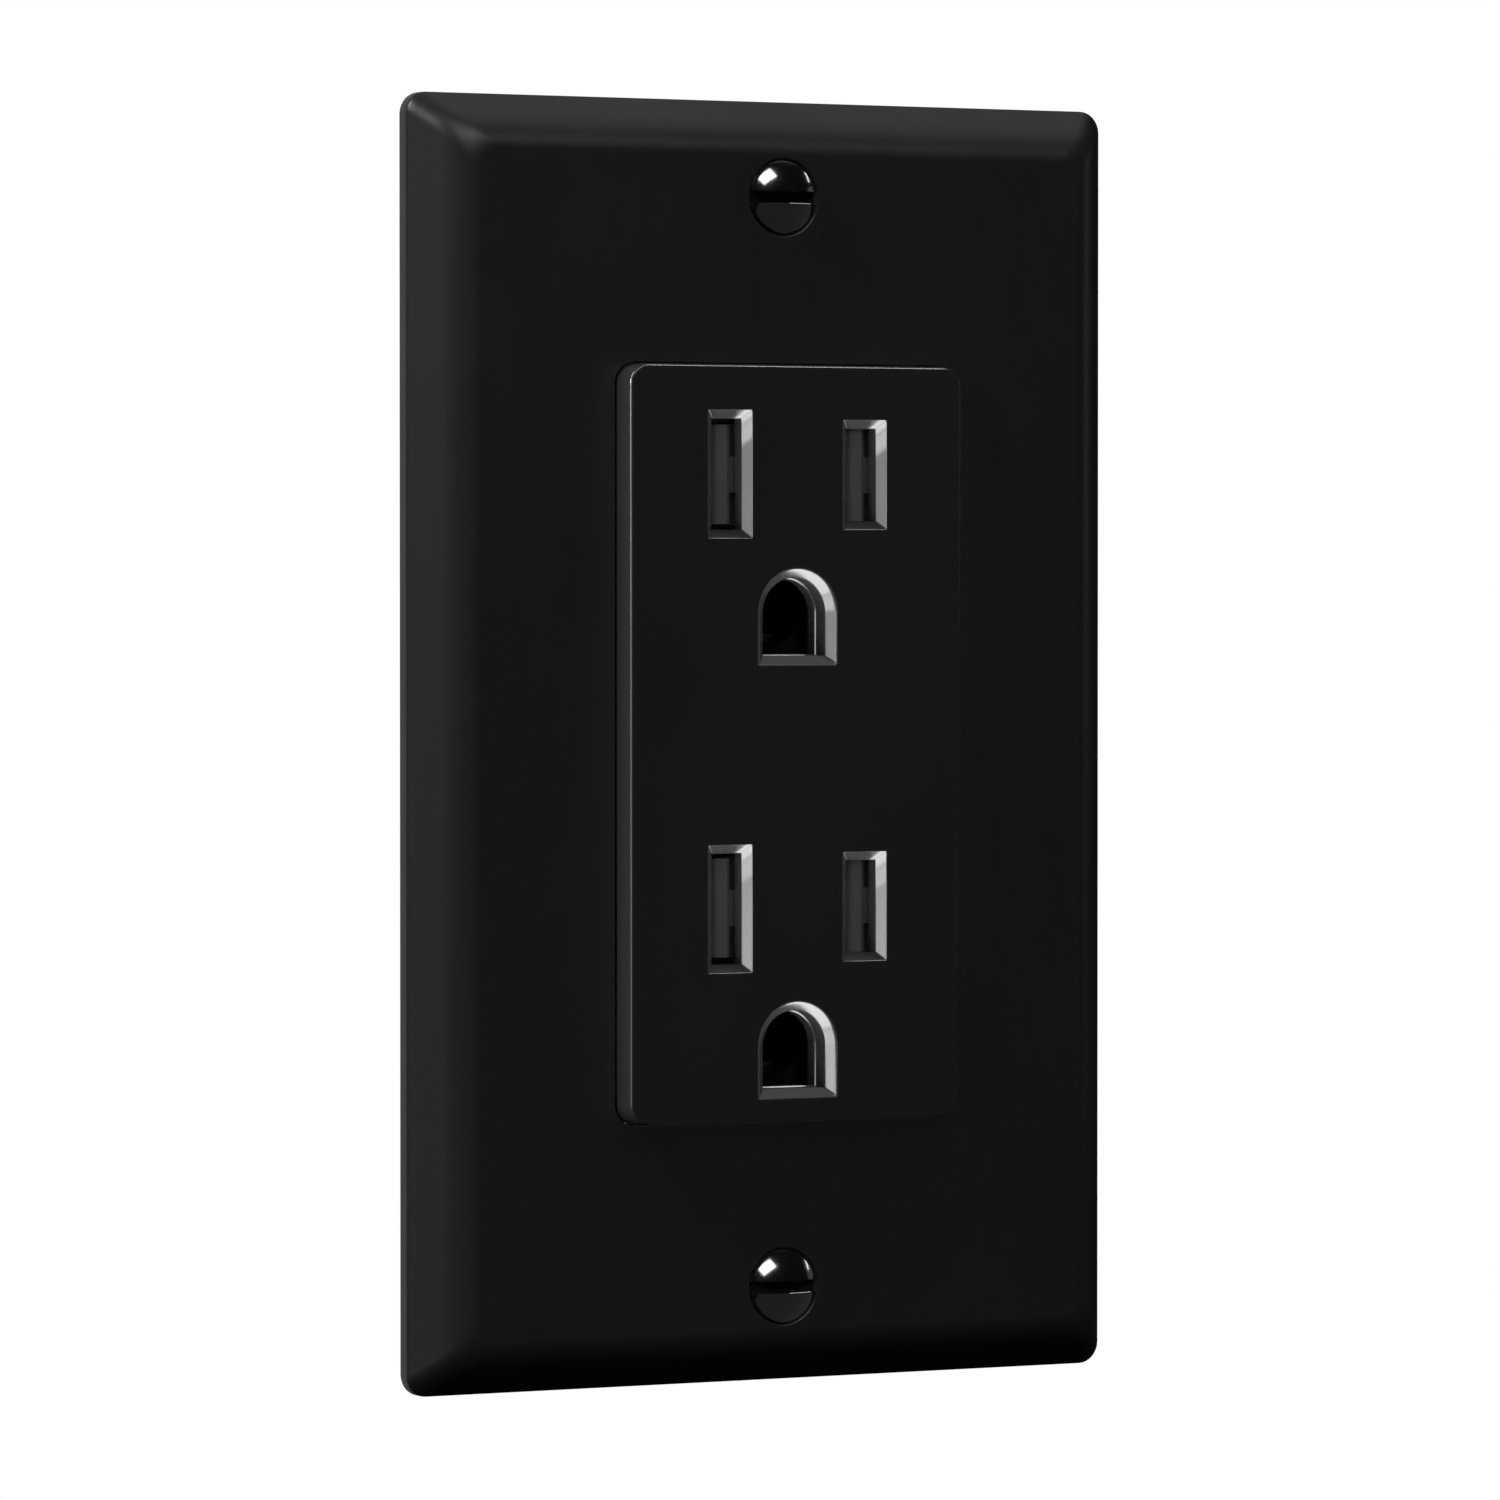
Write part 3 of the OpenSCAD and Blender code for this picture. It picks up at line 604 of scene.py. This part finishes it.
def blend_corners(ob):
    """Softens the normals at the top right corner of each blade slot's funnel."""
    bake(ob)
    me = ob.data
    normals = [c.vector.copy() for c in me.corner_normals]
    soft = Vector((-0.60, -0.66, -0.44)).normalized()
    steep = Vector((0, -0.48, -0.88)).normalized()
    flat = Vector((0, -1, 0))
    sill = Vector((0, -0.82, 0.57)).normalized()
    spots = [(x, y + SLOT_UP, h) for y in (PITCH, -PITCH)
             for x, h in ((-SLOT_X, NEUTRAL_H), (SLOT_X, LIVE_H))]
    for poly in me.polygons:
        c, n = poly.center / MM, poly.normal
        if c.z < -FACE_H / 2 + 0.9 and c.x > -FACE_W / 2 + FACE_R and n.z < -0.02 and c.y < -FACE_Z + 0.3:
            for li in poly.loop_indices:
                normals[li] = flat
        for y in (PITCH, -PITCH):
            base = y - EARTH_DOWN - EARTH_H / 2
            if base - FUNNEL - 0.3 < c.z < base + 0.1 and abs(c.x) < EARTH_W / 2 + 0.5 and \
                    -c.y > FACE_Z - FUNNEL - 0.09 and n.y > -0.995 and n.z > 0.2:
                for li in poly.loop_indices:
                    normals[li] = sill
        if -c.y < FACE_Z - FUNNEL + 0.04 or not -0.998 < n.y < -0.6:
            continue
        for x, y, h in spots:
            if abs(c.x - x) > SLOT_W / 2 + 0.9 or abs(c.z - y) > h / 2 + 0.9:
                continue
            right = n.x < -0.6 and c.x > x
            top = n.z < -0.04 and abs(n.x) < 0.1 and c.z > y
            if not (right or top):
                continue
            for li in poly.loop_indices:
                v = me.vertices[me.loops[li].vertex_index].co / MM
                if v.x > x + SLOT_W / 2 - 0.35 and v.z > y + h / 2 - 0.35:
                    normals[li] = soft
                elif top:
                    normals[li] = steep
    me.normals_split_custom_set(normals)
    return ob


for ob in device_face():
    place(ob, M_FACE, "face_plastic", BASE, ["device_face"])


def earth_linings():
    """Collars and tubes under the earth holes, in one object."""
    parts = []
    for y in (PITCH, -PITCH):
        c = (0, y - EARTH_DOWN)
        ob = solid("lining", *loft([(arch(EARTH_W + 2, EARTH_H + 2), 3.2), (arch(EARTH_W + 2, EARTH_H + 2), 4.95)], c))
        add(ob, rod(3.5, 0.05, 3.4, (0, y - YG), 40))
        cut(ob, loft([(arch(EARTH_W + 0.4, EARTH_H + 0.4), 3.8), (arch(EARTH_W + 0.4, EARTH_H + 0.4), 6)], c))
        cut(ob, lathe([(0, -1), (3.12, -1), (3.12, 0.1), (3.0, 0.25), (3.0, 4.2), (0, 4.2)], 40, (0, y - YG)))
        parts.append(ob)
    return joined("earth_hole_linings", parts)


# the linings take the darker face plastic, which is painted shade inside the earth holes
place(smooth(earth_linings(), 35), M_FACE_PAINTED_SHADE, "face_plastic", BASE, ["device_face"])

# ------------------------------------------------------------------ screws

def thread_rings(r, pitch, z0, z1, n, depth=None, steps=10, tip=0.5, top=0.6):
    """Rings of a right-hand thread from the tip z0 up to z1, with both ends run out."""
    depth = depth or 0.58 * pitch
    count = max(4, int(round((z1 - z0) / pitch * steps)))
    out = []
    for i in range(count + 1):
        z = z0 + (z1 - z0) * i / count
        row = []
        for k in range(n):
            a = 2 * math.pi * k / n
            u = (z / pitch - a / (2 * math.pi)) % 1.0
            v = abs(u - 0.5) * 2
            g = min(max((v - 0.12) / 0.72, 0), 1)
            fade = min(1.0, (z1 - z) / top)
            rr = r - depth * g * fade
            rr = min(rr, r - tip + (z - z0) * 1.0) if z - z0 < tip else rr
            row.append((rr * math.cos(a), rr * math.sin(a), z))
        out.append(row)
    return out


def screw_mesh(rows, low, high, n):
    """Closed skin over full rings, with a pole at each end."""
    verts = [(0, 0, low)]
    for r in rows:
        verts += r
    verts.append((0, 0, high))
    faces = [(0, 1 + (k + 1) % n, 1 + k) for k in range(n)]
    for i in range(len(rows) - 1):
        a, b = 1 + i * n, 1 + (i + 1) * n
        faces += [(a + k, a + (k + 1) % n, b + (k + 1) % n, b + k) for k in range(n)]
    a = 1 + (len(rows) - 1) * n
    faces += [(a + k, a + (k + 1) % n, len(verts) - 1) for k in range(n)]
    return verts, faces


def circle(r, z, n):
    return [(r * math.cos(2 * math.pi * k / n), r * math.sin(2 * math.pi * k / n), z)
            for k in range(n)]


def oval_screw(name, y):
    n, seat, R, dome = 64, PLATE_D - 0.05, 3.35, 1.15
    rows = thread_rings(1.7525, 0.79375, -6.5, 4.0, n)
    rows += [circle(1.7525, 4.03, n), circle(1.7525, seat - 1.85, n)]
    for k in (0.25, 0.5, 0.75, 0.94):
        rows.append(circle(R - 1.85 * 0.869 * (1 - k) , seat - 1.85 * (1 - k), n))
    rows.append(circle(R - 0.01, seat - 0.03, n))
    sphere = (R * R + dome * dome) / (2 * dome)
    for k in range(12):
        a = math.asin(R / sphere) * (1 - (k + 0.25) / 12.4)
        rows.append(circle(sphere * math.sin(a), seat + dome - sphere + sphere * math.cos(a), n))
    ob = solid(name, *screw_mesh(rows, -6.5, seat + dome, n), place=lambda p: (p[0], p[1] + y, p[2]))
    cut(ob, block(-5, 5, y - 0.53, y + 0.53, seat - 0.25, seat + 2))
    ease(ob, 0.14, 40, 1, lambda c: c[2] > seat - 0.1 and abs(abs(c[1] - y) - 0.53) < 0.03)
    tidy(ob, 2e-7, 0)
    bake(smooth(ob, 40))
    # the slot's lower chamfer is shaded a little flatter than it is cut
    me = ob.data
    normals = [c.vector.copy() for c in me.corner_normals]
    for poly in me.polygons:
        c, n = poly.center / MM, poly.normal
        if -c.y > seat and abs(c.z - (y - 0.58)) < 0.12 and 0.4 < n.z < 0.95:
            for li in poly.loop_indices:
                x = me.vertices[me.loops[li].vertex_index].co.x / MM
                k = max(0.0, min(1.0, x / 0.3 + 0.5)) * max(0.0, min(1.0, (2.9 - x) / 0.6))
                normals[li] = Vector((0, -0.78, 0.62)).lerp((-0.351, -0.874, 0.334), k).normalized()
    me.normals_split_custom_set(normals)
    return ob


for which, y in (("top", PLATE_SCREW), ("bottom", -PLATE_SCREW)):
    node = "plate_screw_" + which
    place(oval_screw(node + "_turned", y), M_SCREW, "black_screw", node, [node])


def cross_recess(r, z0, z1, w=0.62):
    """Tapered cross of a screwdriver recess, deepest at z0, as two lofts."""
    out = []
    for a, b in ((r, w), (w, r)):
        out.append(loft([(rounded(2 * a * (0.35 if a > b else 0.8), 2 * b * (0.35 if b > a else 0.8), 0.05, 3), z0),
                         (rounded(2 * a, 2 * b, 0.08, 3), z1)]))
    return out


def box_screw(name, y):
    n = 56
    rows = thread_rings(1.7525, 0.79375, -22, -1.0, n, tip=0.7)
    rows += [circle(1.5, -0.6, n), circle(1.5, 1.32, n), circle(3.75, 1.32, n), circle(3.9, 1.45, n),
             circle(3.9, 2.2, n), circle(3.84, 2.36, n), circle(3.6, 2.62, n), circle(3.2, 2.92, n),
             circle(2.6, 3.12, n), circle(1.8, 3.2, n)]
    ob = solid(name, *screw_mesh(rows, -22, 3.2, n), place=lambda p: (p[0], p[1] + y, p[2]))
    cut(ob, block(-5, 5, y - 0.5, y + 0.5, 2.25, 4))
    v, f = block(-0.5, 0.5, y - 1.9, y + 1.9, 2.25, 4)
    cut(ob, (v, f))
    ease(ob, 0.07, 40, 2, lambda c: c[2] > 2.3)
    return smooth(ob, 40)


for which, y in (("top", BOX_SCREW), ("bottom", -BOX_SCREW)):
    node = "box_screw_" + which
    place(box_screw(node + "_turned", y), M_ZINC, "zinc_steel", node, [node])


def side_screw(name, put, hexed=False):
    """Terminal screw about its own axis z, then put in place."""
    n = 54
    if hexed:
        rows = thread_rings(2.08, 0.79375, -8.5, -0.2, n, tip=0.5)
        rows += [circle(2.08, 0.02, n), circle(4.05, 0.02, n), circle(4.2, 0.16, n), circle(4.2, 0.74, n),
                 circle(4.0, 0.92, n)]

        def hexagon(r, z, soft=0.0):
            row = []
            for k in range(n):
                a = 2 * math.pi * k / n
                b = (a + math.pi / 6) % (math.pi / 3) - math.pi / 6
                d = r * math.cos(math.pi / 6) / math.cos((a % (math.pi / 3)) - math.pi / 6)
                row.append((min(d, r - soft) * math.cos(a), min(d, r - soft) * math.sin(a), z))
            return row
        rows += [hexagon(3.7, 0.94), hexagon(3.7, 2.35), hexagon(3.7, 2.55, 0.16), hexagon(3.7, 2.72, 0.4),
                 circle(3.0, 2.8, n)]
        top = 2.8
        cuts = [block(-4.6, 4.6, -0.55, 0.55, 1.8, 4)]
        lo = -8.5
    else:
        rows = thread_rings(2.08, 0.79375, 10.6, 15.9, n, tip=0.4)
        rows += [circle(2.08, 16.02, n), circle(3.85, 16.02, n), circle(4.0, 16.16, n), circle(4.0, 17.32, n),
                 circle(3.95, 17.5, n), circle(3.7, 17.85, n), circle(3.35, 18.2, n), circle(3.0, 18.38, n),
                 circle(2.4, 18.42, n)]
        top, lo = 18.42, 10.6
        cuts = [block(-4.6, 4.6, -0.55, 0.55, 17.3, 20), block(-1.2, 1.2, -1.2, 1.2, 16.9, 20, 0.12)]
    verts, faces = screw_mesh(rows, lo, top, n)
    ob = solid(name, verts, faces, put)
    for v, f in cuts:
        cut(ob, ([put(p) for p in v], f))
    tidy(ob, 1e-7, 0)
    return smooth(ob, 40)


for side, sx, mat, slot in (("hot", 1, M_BRASS, "brass"), ("neutral", -1, M_NICKEL, "nickel")):
    for which, t in (("upper", 1), ("lower", -1)):
        node = f"{side}_screw_{which}"
        put = (lambda p, s=sx, y=13.0 * t: (s * p[2], s * p[1] + y, -p[0] - 11.5))
        place(side_screw(node + "_turned", put), mat, slot, node, [node])

place(side_screw("ground_screw_turned", lambda p: (-16.5 - p[2], -44.2 + p[1], -6 + p[0]), True),
      M_GREEN, "green_screw", "ground_screw", ["ground_screw"])


def assembly_screws():
    n = 36
    rows = thread_rings(1.25, 0.9, -5.6, 12, n, depth=0.36, steps=8, tip=0.5, top=0.8)
    rows += [circle(1.05, 12.4, n), circle(1.05, 22.8, n), circle(2.2, 23.0, n), circle(2.35, 23.14, n),
             circle(2.35, 23.75, n), circle(2.2, 24.1, n), circle(1.8, 24.35, n), circle(1.1, 24.5, n)]
    verts, faces = screw_mesh(rows, -5.6, 24.5, n)
    parts = []
    for x in (-12.2, 12.2):
        for y in (-30.7, 30.7):
            put = lambda p, x=x, y=y: (x + p[0], y - p[1], -p[2])
            ob = solid("screw", verts, faces, put)
            for v, f in cross_recess(1.45, 23.35, 24.7, 0.33):
                cut(ob, ([put(p) for p in v], f))
            parts.append(ob)
    return smooth(joined("assembly_screws_turned", parts), 40)


place(assembly_screws(), M_ZINC, "zinc_steel", BASE, ["assembly_screws"])

# ------------------------------------------------------------------ springs

def spring(name, y):
    x0, x1, m, w, turns, per, sides = 7.25, 13.70, 0.88, 0.15, 8.0, 36, 10
    n = int(turns * per)
    mids = []
    for k in range(n + 1):
        t = k / per                       # turns so far
        # one closed turn at each end, even pitch between
        lead = min(t, 1.0) * 0.34 + max(0, min(t - 1, turns - 2)) * ((x1 - x0 - 2 * w - 0.68) / (turns - 2)) \
            + max(0, t - (turns - 1)) * 0.34
        a = 2 * math.pi * t
        mids.append(Vector((x0 + w + lead, m * math.cos(a), m * math.sin(a))))
    verts, faces = [], []
    for k, p in enumerate(mids):
        d = (mids[min(k + 1, n)] - mids[max(k - 1, 0)]).normalized()
        out = Vector((0, p.y, p.z)).normalized()
        side = d.cross(out).normalized()
        for j in range(sides):
            b = 2 * math.pi * j / sides
            q = p + w * (math.cos(b) * out + math.sin(b) * side)
            verts.append((q.x, q.y + y + SLOT_UP, q.z + 4.0))
    for k in range(n):
        for j in range(sides):
            a, b = k * sides + j, k * sides + (j + 1) % sides
            faces.append((a, b, b + sides, a + sides))
    faces.append(tuple(range(sides - 1, -1, -1)))
    faces.append(tuple(n * sides + j for j in range(sides)))
    return smooth(solid(name, verts, faces), 50)


for which, y in (("upper", PITCH), ("lower", -PITCH)):
    ob = place(spring(f"shutter_spring_{which}_wound", y), M_SPRING, "spring_steel", BASE,
               [f"shutter_spring_{which}"])
    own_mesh(ob)

# ------------------------------------------------------------------ rear body

def rear_body():
    ob = from_cad("rear_body", "rear_body_moulding")
    back = -24.6
    for s in (-1, 1):
        for t in (-1, 1):
            for d in (-3.4, 3.4):
                # funnel mouth of each wire hole
                cut(ob, lathe([(0, back - 0.5), (2.1, back - 0.5), (2.1, back), (1.5, back + 0.7),
                               (1.4, back + 0.8), (0, back + 0.8)], 32, (s * 13.75, t * 13.0 + d)))
    # shallow panels and the wire strip gauge
    for y in (-22.5, 22.5):
        cut(ob, block(-8.6, 8.6, y - 5.5, y + 5.5, back - 1, back + 0.3, 0.8))
    cut(ob, block(-1.4, 1.4, -8, 8, back - 1, back + 0.45, 0.3))
    for y in (-12.2, 12.2):
        cut(ob, rod(1.6, back - 1, back + 0.15, (0, y), 32))
    tidy(ob, 5e-7, 0.5)
    ease(ob, 0.16, 40, 2)
    return smooth(ob, 40)


place(rear_body(), M_BODY, "body_plastic", BASE, ["rear_body"])

# ------------------------------------------------------------------ stamped and moulded CAD pieces

def finish_node(node, mat, width, seg=2, angle=32):
    ob = N[node]
    ob.data.materials.clear()
    ob.data.materials.append(mat)
    w = ob.modifiers.new("weld", "WELD")
    w.merge_threshold = 1e-6
    d = ob.modifiers.new("flats", "DECIMATE")
    d.decimate_type, d.angle_limit = "DISSOLVE", math.radians(1.0)
    b = ob.modifiers.new("ease", "BEVEL")
    b.width, b.segments, b.limit_method, b.angle_limit = width * MM, seg, "ANGLE", math.radians(angle)
    b.use_clamp_overlap = True
    ob.data.polygons.foreach_set("use_smooth", [True] * len(ob.data.polygons))
    n = ob.modifiers.new("normals", "WEIGHTED_NORMAL")
    n.keep_sharp, n.weight = False, 50
    return ob


finish_node("mounting_strap", M_ZINC, 0.15)
for node, mat, width in (
        ("ground_contact_upper", M_BRASS, 0.08), ("ground_contact_lower", M_BRASS, 0.08),
        ("ground_rivets", M_ZINC, 0.12), ("hot_bus", M_BRASS, 0.08), ("neutral_bus", M_NICKEL, 0.08),
        ("hot_clamp_upper", M_ZINC, 0.12), ("hot_clamp_lower", M_ZINC, 0.12),
        ("neutral_clamp_upper", M_ZINC, 0.12), ("neutral_clamp_lower", M_ZINC, 0.12),
        ("shutter_upper", M_SHUTTER, 0.06), ("shutter_lower", M_SHUTTER, 0.06),
        ("shutter_guide_upper", M_GUIDE, 0.08), ("shutter_guide_lower", M_GUIDE, 0.08),
        ("screw_retainers", M_CARD, 0.06)):
    finish_node(node, mat, width)

# ------------------------------------------------------------------ studio

scene.view_settings.view_transform = "Standard"
scene.view_settings.look = "None"


def emission(name, strength):
    m = bpy.data.materials.new(name)
    m.use_nodes = True
    nt = m.node_tree
    nt.nodes.clear()
    e = nt.nodes.new("ShaderNodeEmission")
    e.inputs["Strength"].default_value = strength
    o = nt.nodes.new("ShaderNodeOutputMaterial")
    nt.links.new(e.outputs["Emission"], o.inputs["Surface"])
    return m


def floor_material():
    m = bpy.data.materials.new("floor_pale")
    m.use_nodes = True
    nt = m.node_tree
    nt.nodes.clear()
    o = nt.nodes.new("ShaderNodeOutputMaterial")
    co = nt.nodes.new("ShaderNodeTexCoord")
    ln = nt.nodes.new("ShaderNodeVectorMath")
    ln.operation = "LENGTH"
    nt.links.new(co.outputs["Object"], ln.inputs[0])
    fade = ramp(nt, ln.outputs["Value"], 0.10, 0.45)
    glow = nt.nodes.new("ShaderNodeEmission")
    glow.inputs["Strength"].default_value = 1.0
    lit = nt.nodes.new("ShaderNodeBsdfDiffuse")
    lit.inputs["Color"].default_value = (0.9, 0.9, 0.9, 1)
    dim = nt.nodes.new("ShaderNodeEmission")
    dim.inputs["Strength"].default_value = 0.62
    near = nt.nodes.new("ShaderNodeAddShader")
    nt.links.new(lit.outputs["BSDF"], near.inputs[0])
    nt.links.new(dim.outputs["Emission"], near.inputs[1])
    mix = nt.nodes.new("ShaderNodeMixShader")
    nt.links.new(fade, mix.inputs["Fac"])
    nt.links.new(near.outputs["Shader"], mix.inputs[1])
    nt.links.new(glow.outputs["Emission"], mix.inputs[2])
    geo = nt.nodes.new("ShaderNodeNewGeometry")
    clear = nt.nodes.new("ShaderNodeBsdfTransparent")
    side = nt.nodes.new("ShaderNodeMixShader")
    nt.links.new(geo.outputs["Backfacing"], side.inputs["Fac"])
    nt.links.new(mix.outputs["Shader"], side.inputs[1])
    nt.links.new(clear.outputs["BSDF"], side.inputs[2])
    nt.links.new(side.outputs["Shader"], o.inputs["Surface"])
    return m


def disc(name, r, z, n=96):
    me = bpy.data.meshes.new(name)
    me.from_pydata([(r * math.cos(2 * math.pi * k / n), r * math.sin(2 * math.pi * k / n), 0)
                    for k in range(n)], [], [tuple(range(n))])
    ob = link(name, me)
    ob.location.z = z
    return ob


def shell(name, r, z0, n=96, m=24):
    """Backdrop: a dome over the floor, seen by the camera only."""
    verts, faces = [], []
    for i in range(m):
        a = math.pi / 2 * i / m
        verts += [(r * math.cos(a) * math.cos(2 * math.pi * k / n),
                   r * math.cos(a) * math.sin(2 * math.pi * k / n), z0 + r * math.sin(a))
                  for k in range(n)]
    verts.append((0, 0, z0 + r))
    for i in range(m - 1):
        for k in range(n):
            faces.append((i * n + k, i * n + (k + 1) % n, (i + 1) * n + (k + 1) % n, (i + 1) * n + k))
    for k in range(n):
        faces.append(((m - 1) * n + k, (m - 1) * n + (k + 1) % n, len(verts) - 1))
    me = bpy.data.meshes.new(name)
    me.from_pydata(verts, [], faces)
    return link(name, me)


floor = disc("floor", 3.0, -0.15)
floor.data.materials.append(floor_material())
dome = shell("backdrop", 3.0, -0.15)
dome.data.materials.append(emission("backdrop_white", 1.0))
for ob in (floor, dome):
    ob.visible_diffuse = ob.visible_glossy = ob.visible_transmission = False
    ob.visible_shadow = False

# soft light by direction: (towards, inner edge, outer edge in degrees, radiance)
LOBES = [((-0.98, -0.15, 0.0), 10, 24, 0.30),
         ((0.35, 0.22, 0.91), 12, 35, 0.32),
         ((-0.25, 0.95, 0.15), 20, 52, 0.40)]
AMBIENT = 0.004


def studio_world():
    w = bpy.data.worlds.new("studio")
    scene.world = w
    w.use_nodes = True
    nt = w.node_tree
    nt.nodes.clear()
    co = nt.nodes.new("ShaderNodeTexCoord")
    total = AMBIENT
    for d, inner, outer, rad in LOBES:
        v = Vector(d).normalized()
        dot = nt.nodes.new("ShaderNodeVectorMath")
        dot.operation = "DOT_PRODUCT"
        dot.inputs[1].default_value = v
        nt.links.new(co.outputs["Generated"], dot.inputs[0])
        part = ramp(nt, dot.outputs["Value"], math.cos(math.radians(outer)),
                    math.cos(math.radians(inner)), 0, rad)
        total = math_node(nt, "ADD", part, total)
    bg = nt.nodes.new("ShaderNodeBackground")
    nt.links.new(total, bg.inputs["Color"])
    o = nt.nodes.new("ShaderNodeOutputWorld")
    nt.links.new(bg.outputs["Background"], o.inputs["Surface"])


studio_world()


def softbox(name, towards, dist, size, radiance, aim=(0, 0, 0), only=(), spare=(), roll=0.0, past=()):
    """Rectangular light whose radiance is given; only and spare choose what it lights, past what it shines through."""
    d = Vector(towards).normalized()
    li = bpy.data.lights.new(name, "AREA")
    li.shape = "RECTANGLE"
    li.size, li.size_y = size
    li.energy = radiance * math.pi * size[0] * size[1]
    ob = bpy.data.objects.new(name, li)
    scene.collection.objects.link(ob)
    ob.location = Vector(aim) + d * dist
    turn = (Vector(aim) - ob.location).to_track_quat("-Z", "Y")
    ob.rotation_euler = (turn @ Quaternion((0, 0, 1), math.radians(roll))).to_euler()
    if only or spare:
        group = bpy.data.collections.new(name + "_receivers")
        for o in only or spare:
            group.objects.link(o)
        ob.light_linking.receiver_collection = group
        for item in group.collection_objects:
            item.light_linking.link_state = "INCLUDE" if only else "EXCLUDE"
    if past:
        group = bpy.data.collections.new(name + "_blockers")
        for o in past:
            group.objects.link(o)
        ob.light_linking.blocker_collection = group
        for item in group.collection_objects:
            item.light_linking.link_state = "EXCLUDE"
    return ob


def panel(name, at, size, radiance, face, only=()):
    """Rectangular light at a point, looking along face."""
    ob = softbox(name, (0, 0, 1), 1.0, size, radiance, only=only)
    ob.location = at
    ob.rotation_euler = Vector(face).to_track_quat("-Z", "Y").to_euler()
    return ob


COVER = [bpy.data.objects["device_face_cover"]]
MOUTHS = [bpy.data.objects["device_face_mouths"]]
SHUTTERS = [N["shutter_upper"], N["shutter_lower"]]
HEADS = [bpy.data.objects["plate_screw_top_turned"], bpy.data.objects["plate_screw_bottom_turned"]]
WORKS = [o for o in scene.objects if o.type == "MESH" and (o.name.endswith("_turned") or o.name in (
    "rear_body_moulding", "mounting_strap", "hot_bus", "neutral_bus", "screw_retainers",
    "hot_clamp_upper", "hot_clamp_lower", "neutral_clamp_upper", "neutral_clamp_lower")) and o not in HEADS]
PLATE = [bpy.data.objects["wall_plate_shell"]]
KEY = ((-0.05, -0.76, 0.65), 5.0, (3.86, 2.5))
DEEP = [bpy.data.objects["earth_hole_linings"], N["mounting_strap"]] + [
    N[part + which] for part in ("ground_contact_", "shutter_guide_") for which in ("upper", "lower")]
softbox("key_front_top", *KEY, 1.85, spare=HEADS + PLATE + DEEP)
softbox("key_plate", *KEY, 0.40, only=PLATE)
softbox("key_plate_soft", *KEY, 1.80, only=PLATE, past=COVER + MOUTHS)
softbox("left_high", (-0.75, -0.02, 0.66), 0.5, (0.16, 0.16), 13.5)
softbox("right_fill", (0.98, -0.12, 0.15), 1.0, (0.30, 0.30), 0.35)
panel("low", (-0.05, -0.22, -0.5), (1.0, 0.6), 9.0, (0, 0, 1), MOUTHS)
panel("low_left", (-0.7, -0.25, -0.32), (0.7, 0.52), 6.5, (1, 0, 0), MOUTHS)
softbox("left_soft", (-0.885, -0.44, 0.02), 0.9, (0.40, 0.26), 2.1, only=COVER + MOUTHS)
softbox("left_side", (-0.97, -0.02, 0.25), 0.6, (0.16, 0.16), 42.0, only=COVER)
softbox("edge_top", (0.465, -0.62, 0.63), 0.9, (0.16, 0.16), 14.0, only=COVER + MOUTHS)
softbox("sill", (0.465, -0.324, 0.82), 0.9, (0.20, 0.20), 0.5, only=COVER + MOUTHS)
softbox("front_soft", (-0.50, -0.84, 0.10), 0.8, (0.26, 0.26), 7.0, only=MOUTHS + SHUTTERS)
for head, z, left, right, low in (
        (HEADS[0], 0.0484, (-0.179, -0.728, 0.662), (0.909, -0.030, 0.417), (0.376, -0.714, -0.590)),
        (HEADS[1], -0.0484, (-0.210, -0.804, 0.557), (0.944, -0.104, 0.315), (0.380, -0.621, -0.685))):
    at = (0, -0.0065, z)
    softbox("head_left", left, 0.76, (0.42, 0.26), 18.0, aim=at, only=[head], roll=35)
    softbox("head_right", right, 0.78, (0.05, 0.15), 10.0, aim=at, only=[head], roll=-20)
    softbox("head_low", low, 0.82, (2.6, 0.95), 0.15, aim=at, only=[head])
softbox("works_right", (0.93, 0.10, 0.35), 0.9, (0.6, 0.6), 3.0, only=WORKS)
softbox("works_back", (0.35, 0.85, 0.40), 1.0, (0.8, 0.6), 1.6, only=WORKS)

cam = bpy.data.cameras.new("camera")
cam.sensor_width, cam.lens = 36.0, 195.7
cam.shift_x, cam.shift_y = -0.0015, -0.0057
cam.clip_start, cam.clip_end = 0.01, 20
cam_ob = bpy.data.objects.new("camera", cam)
scene.collection.objects.link(cam_ob)
AZ, EL, DIST = math.radians(-27.74), math.radians(1.14), 0.7304
cam_ob.location = (DIST * math.sin(AZ) * math.cos(EL), -DIST * math.cos(AZ) * math.cos(EL), DIST * math.sin(EL))
cam_ob.rotation_euler = (math.pi / 2 - EL, math.radians(0.0), AZ)
scene.camera = cam_ob
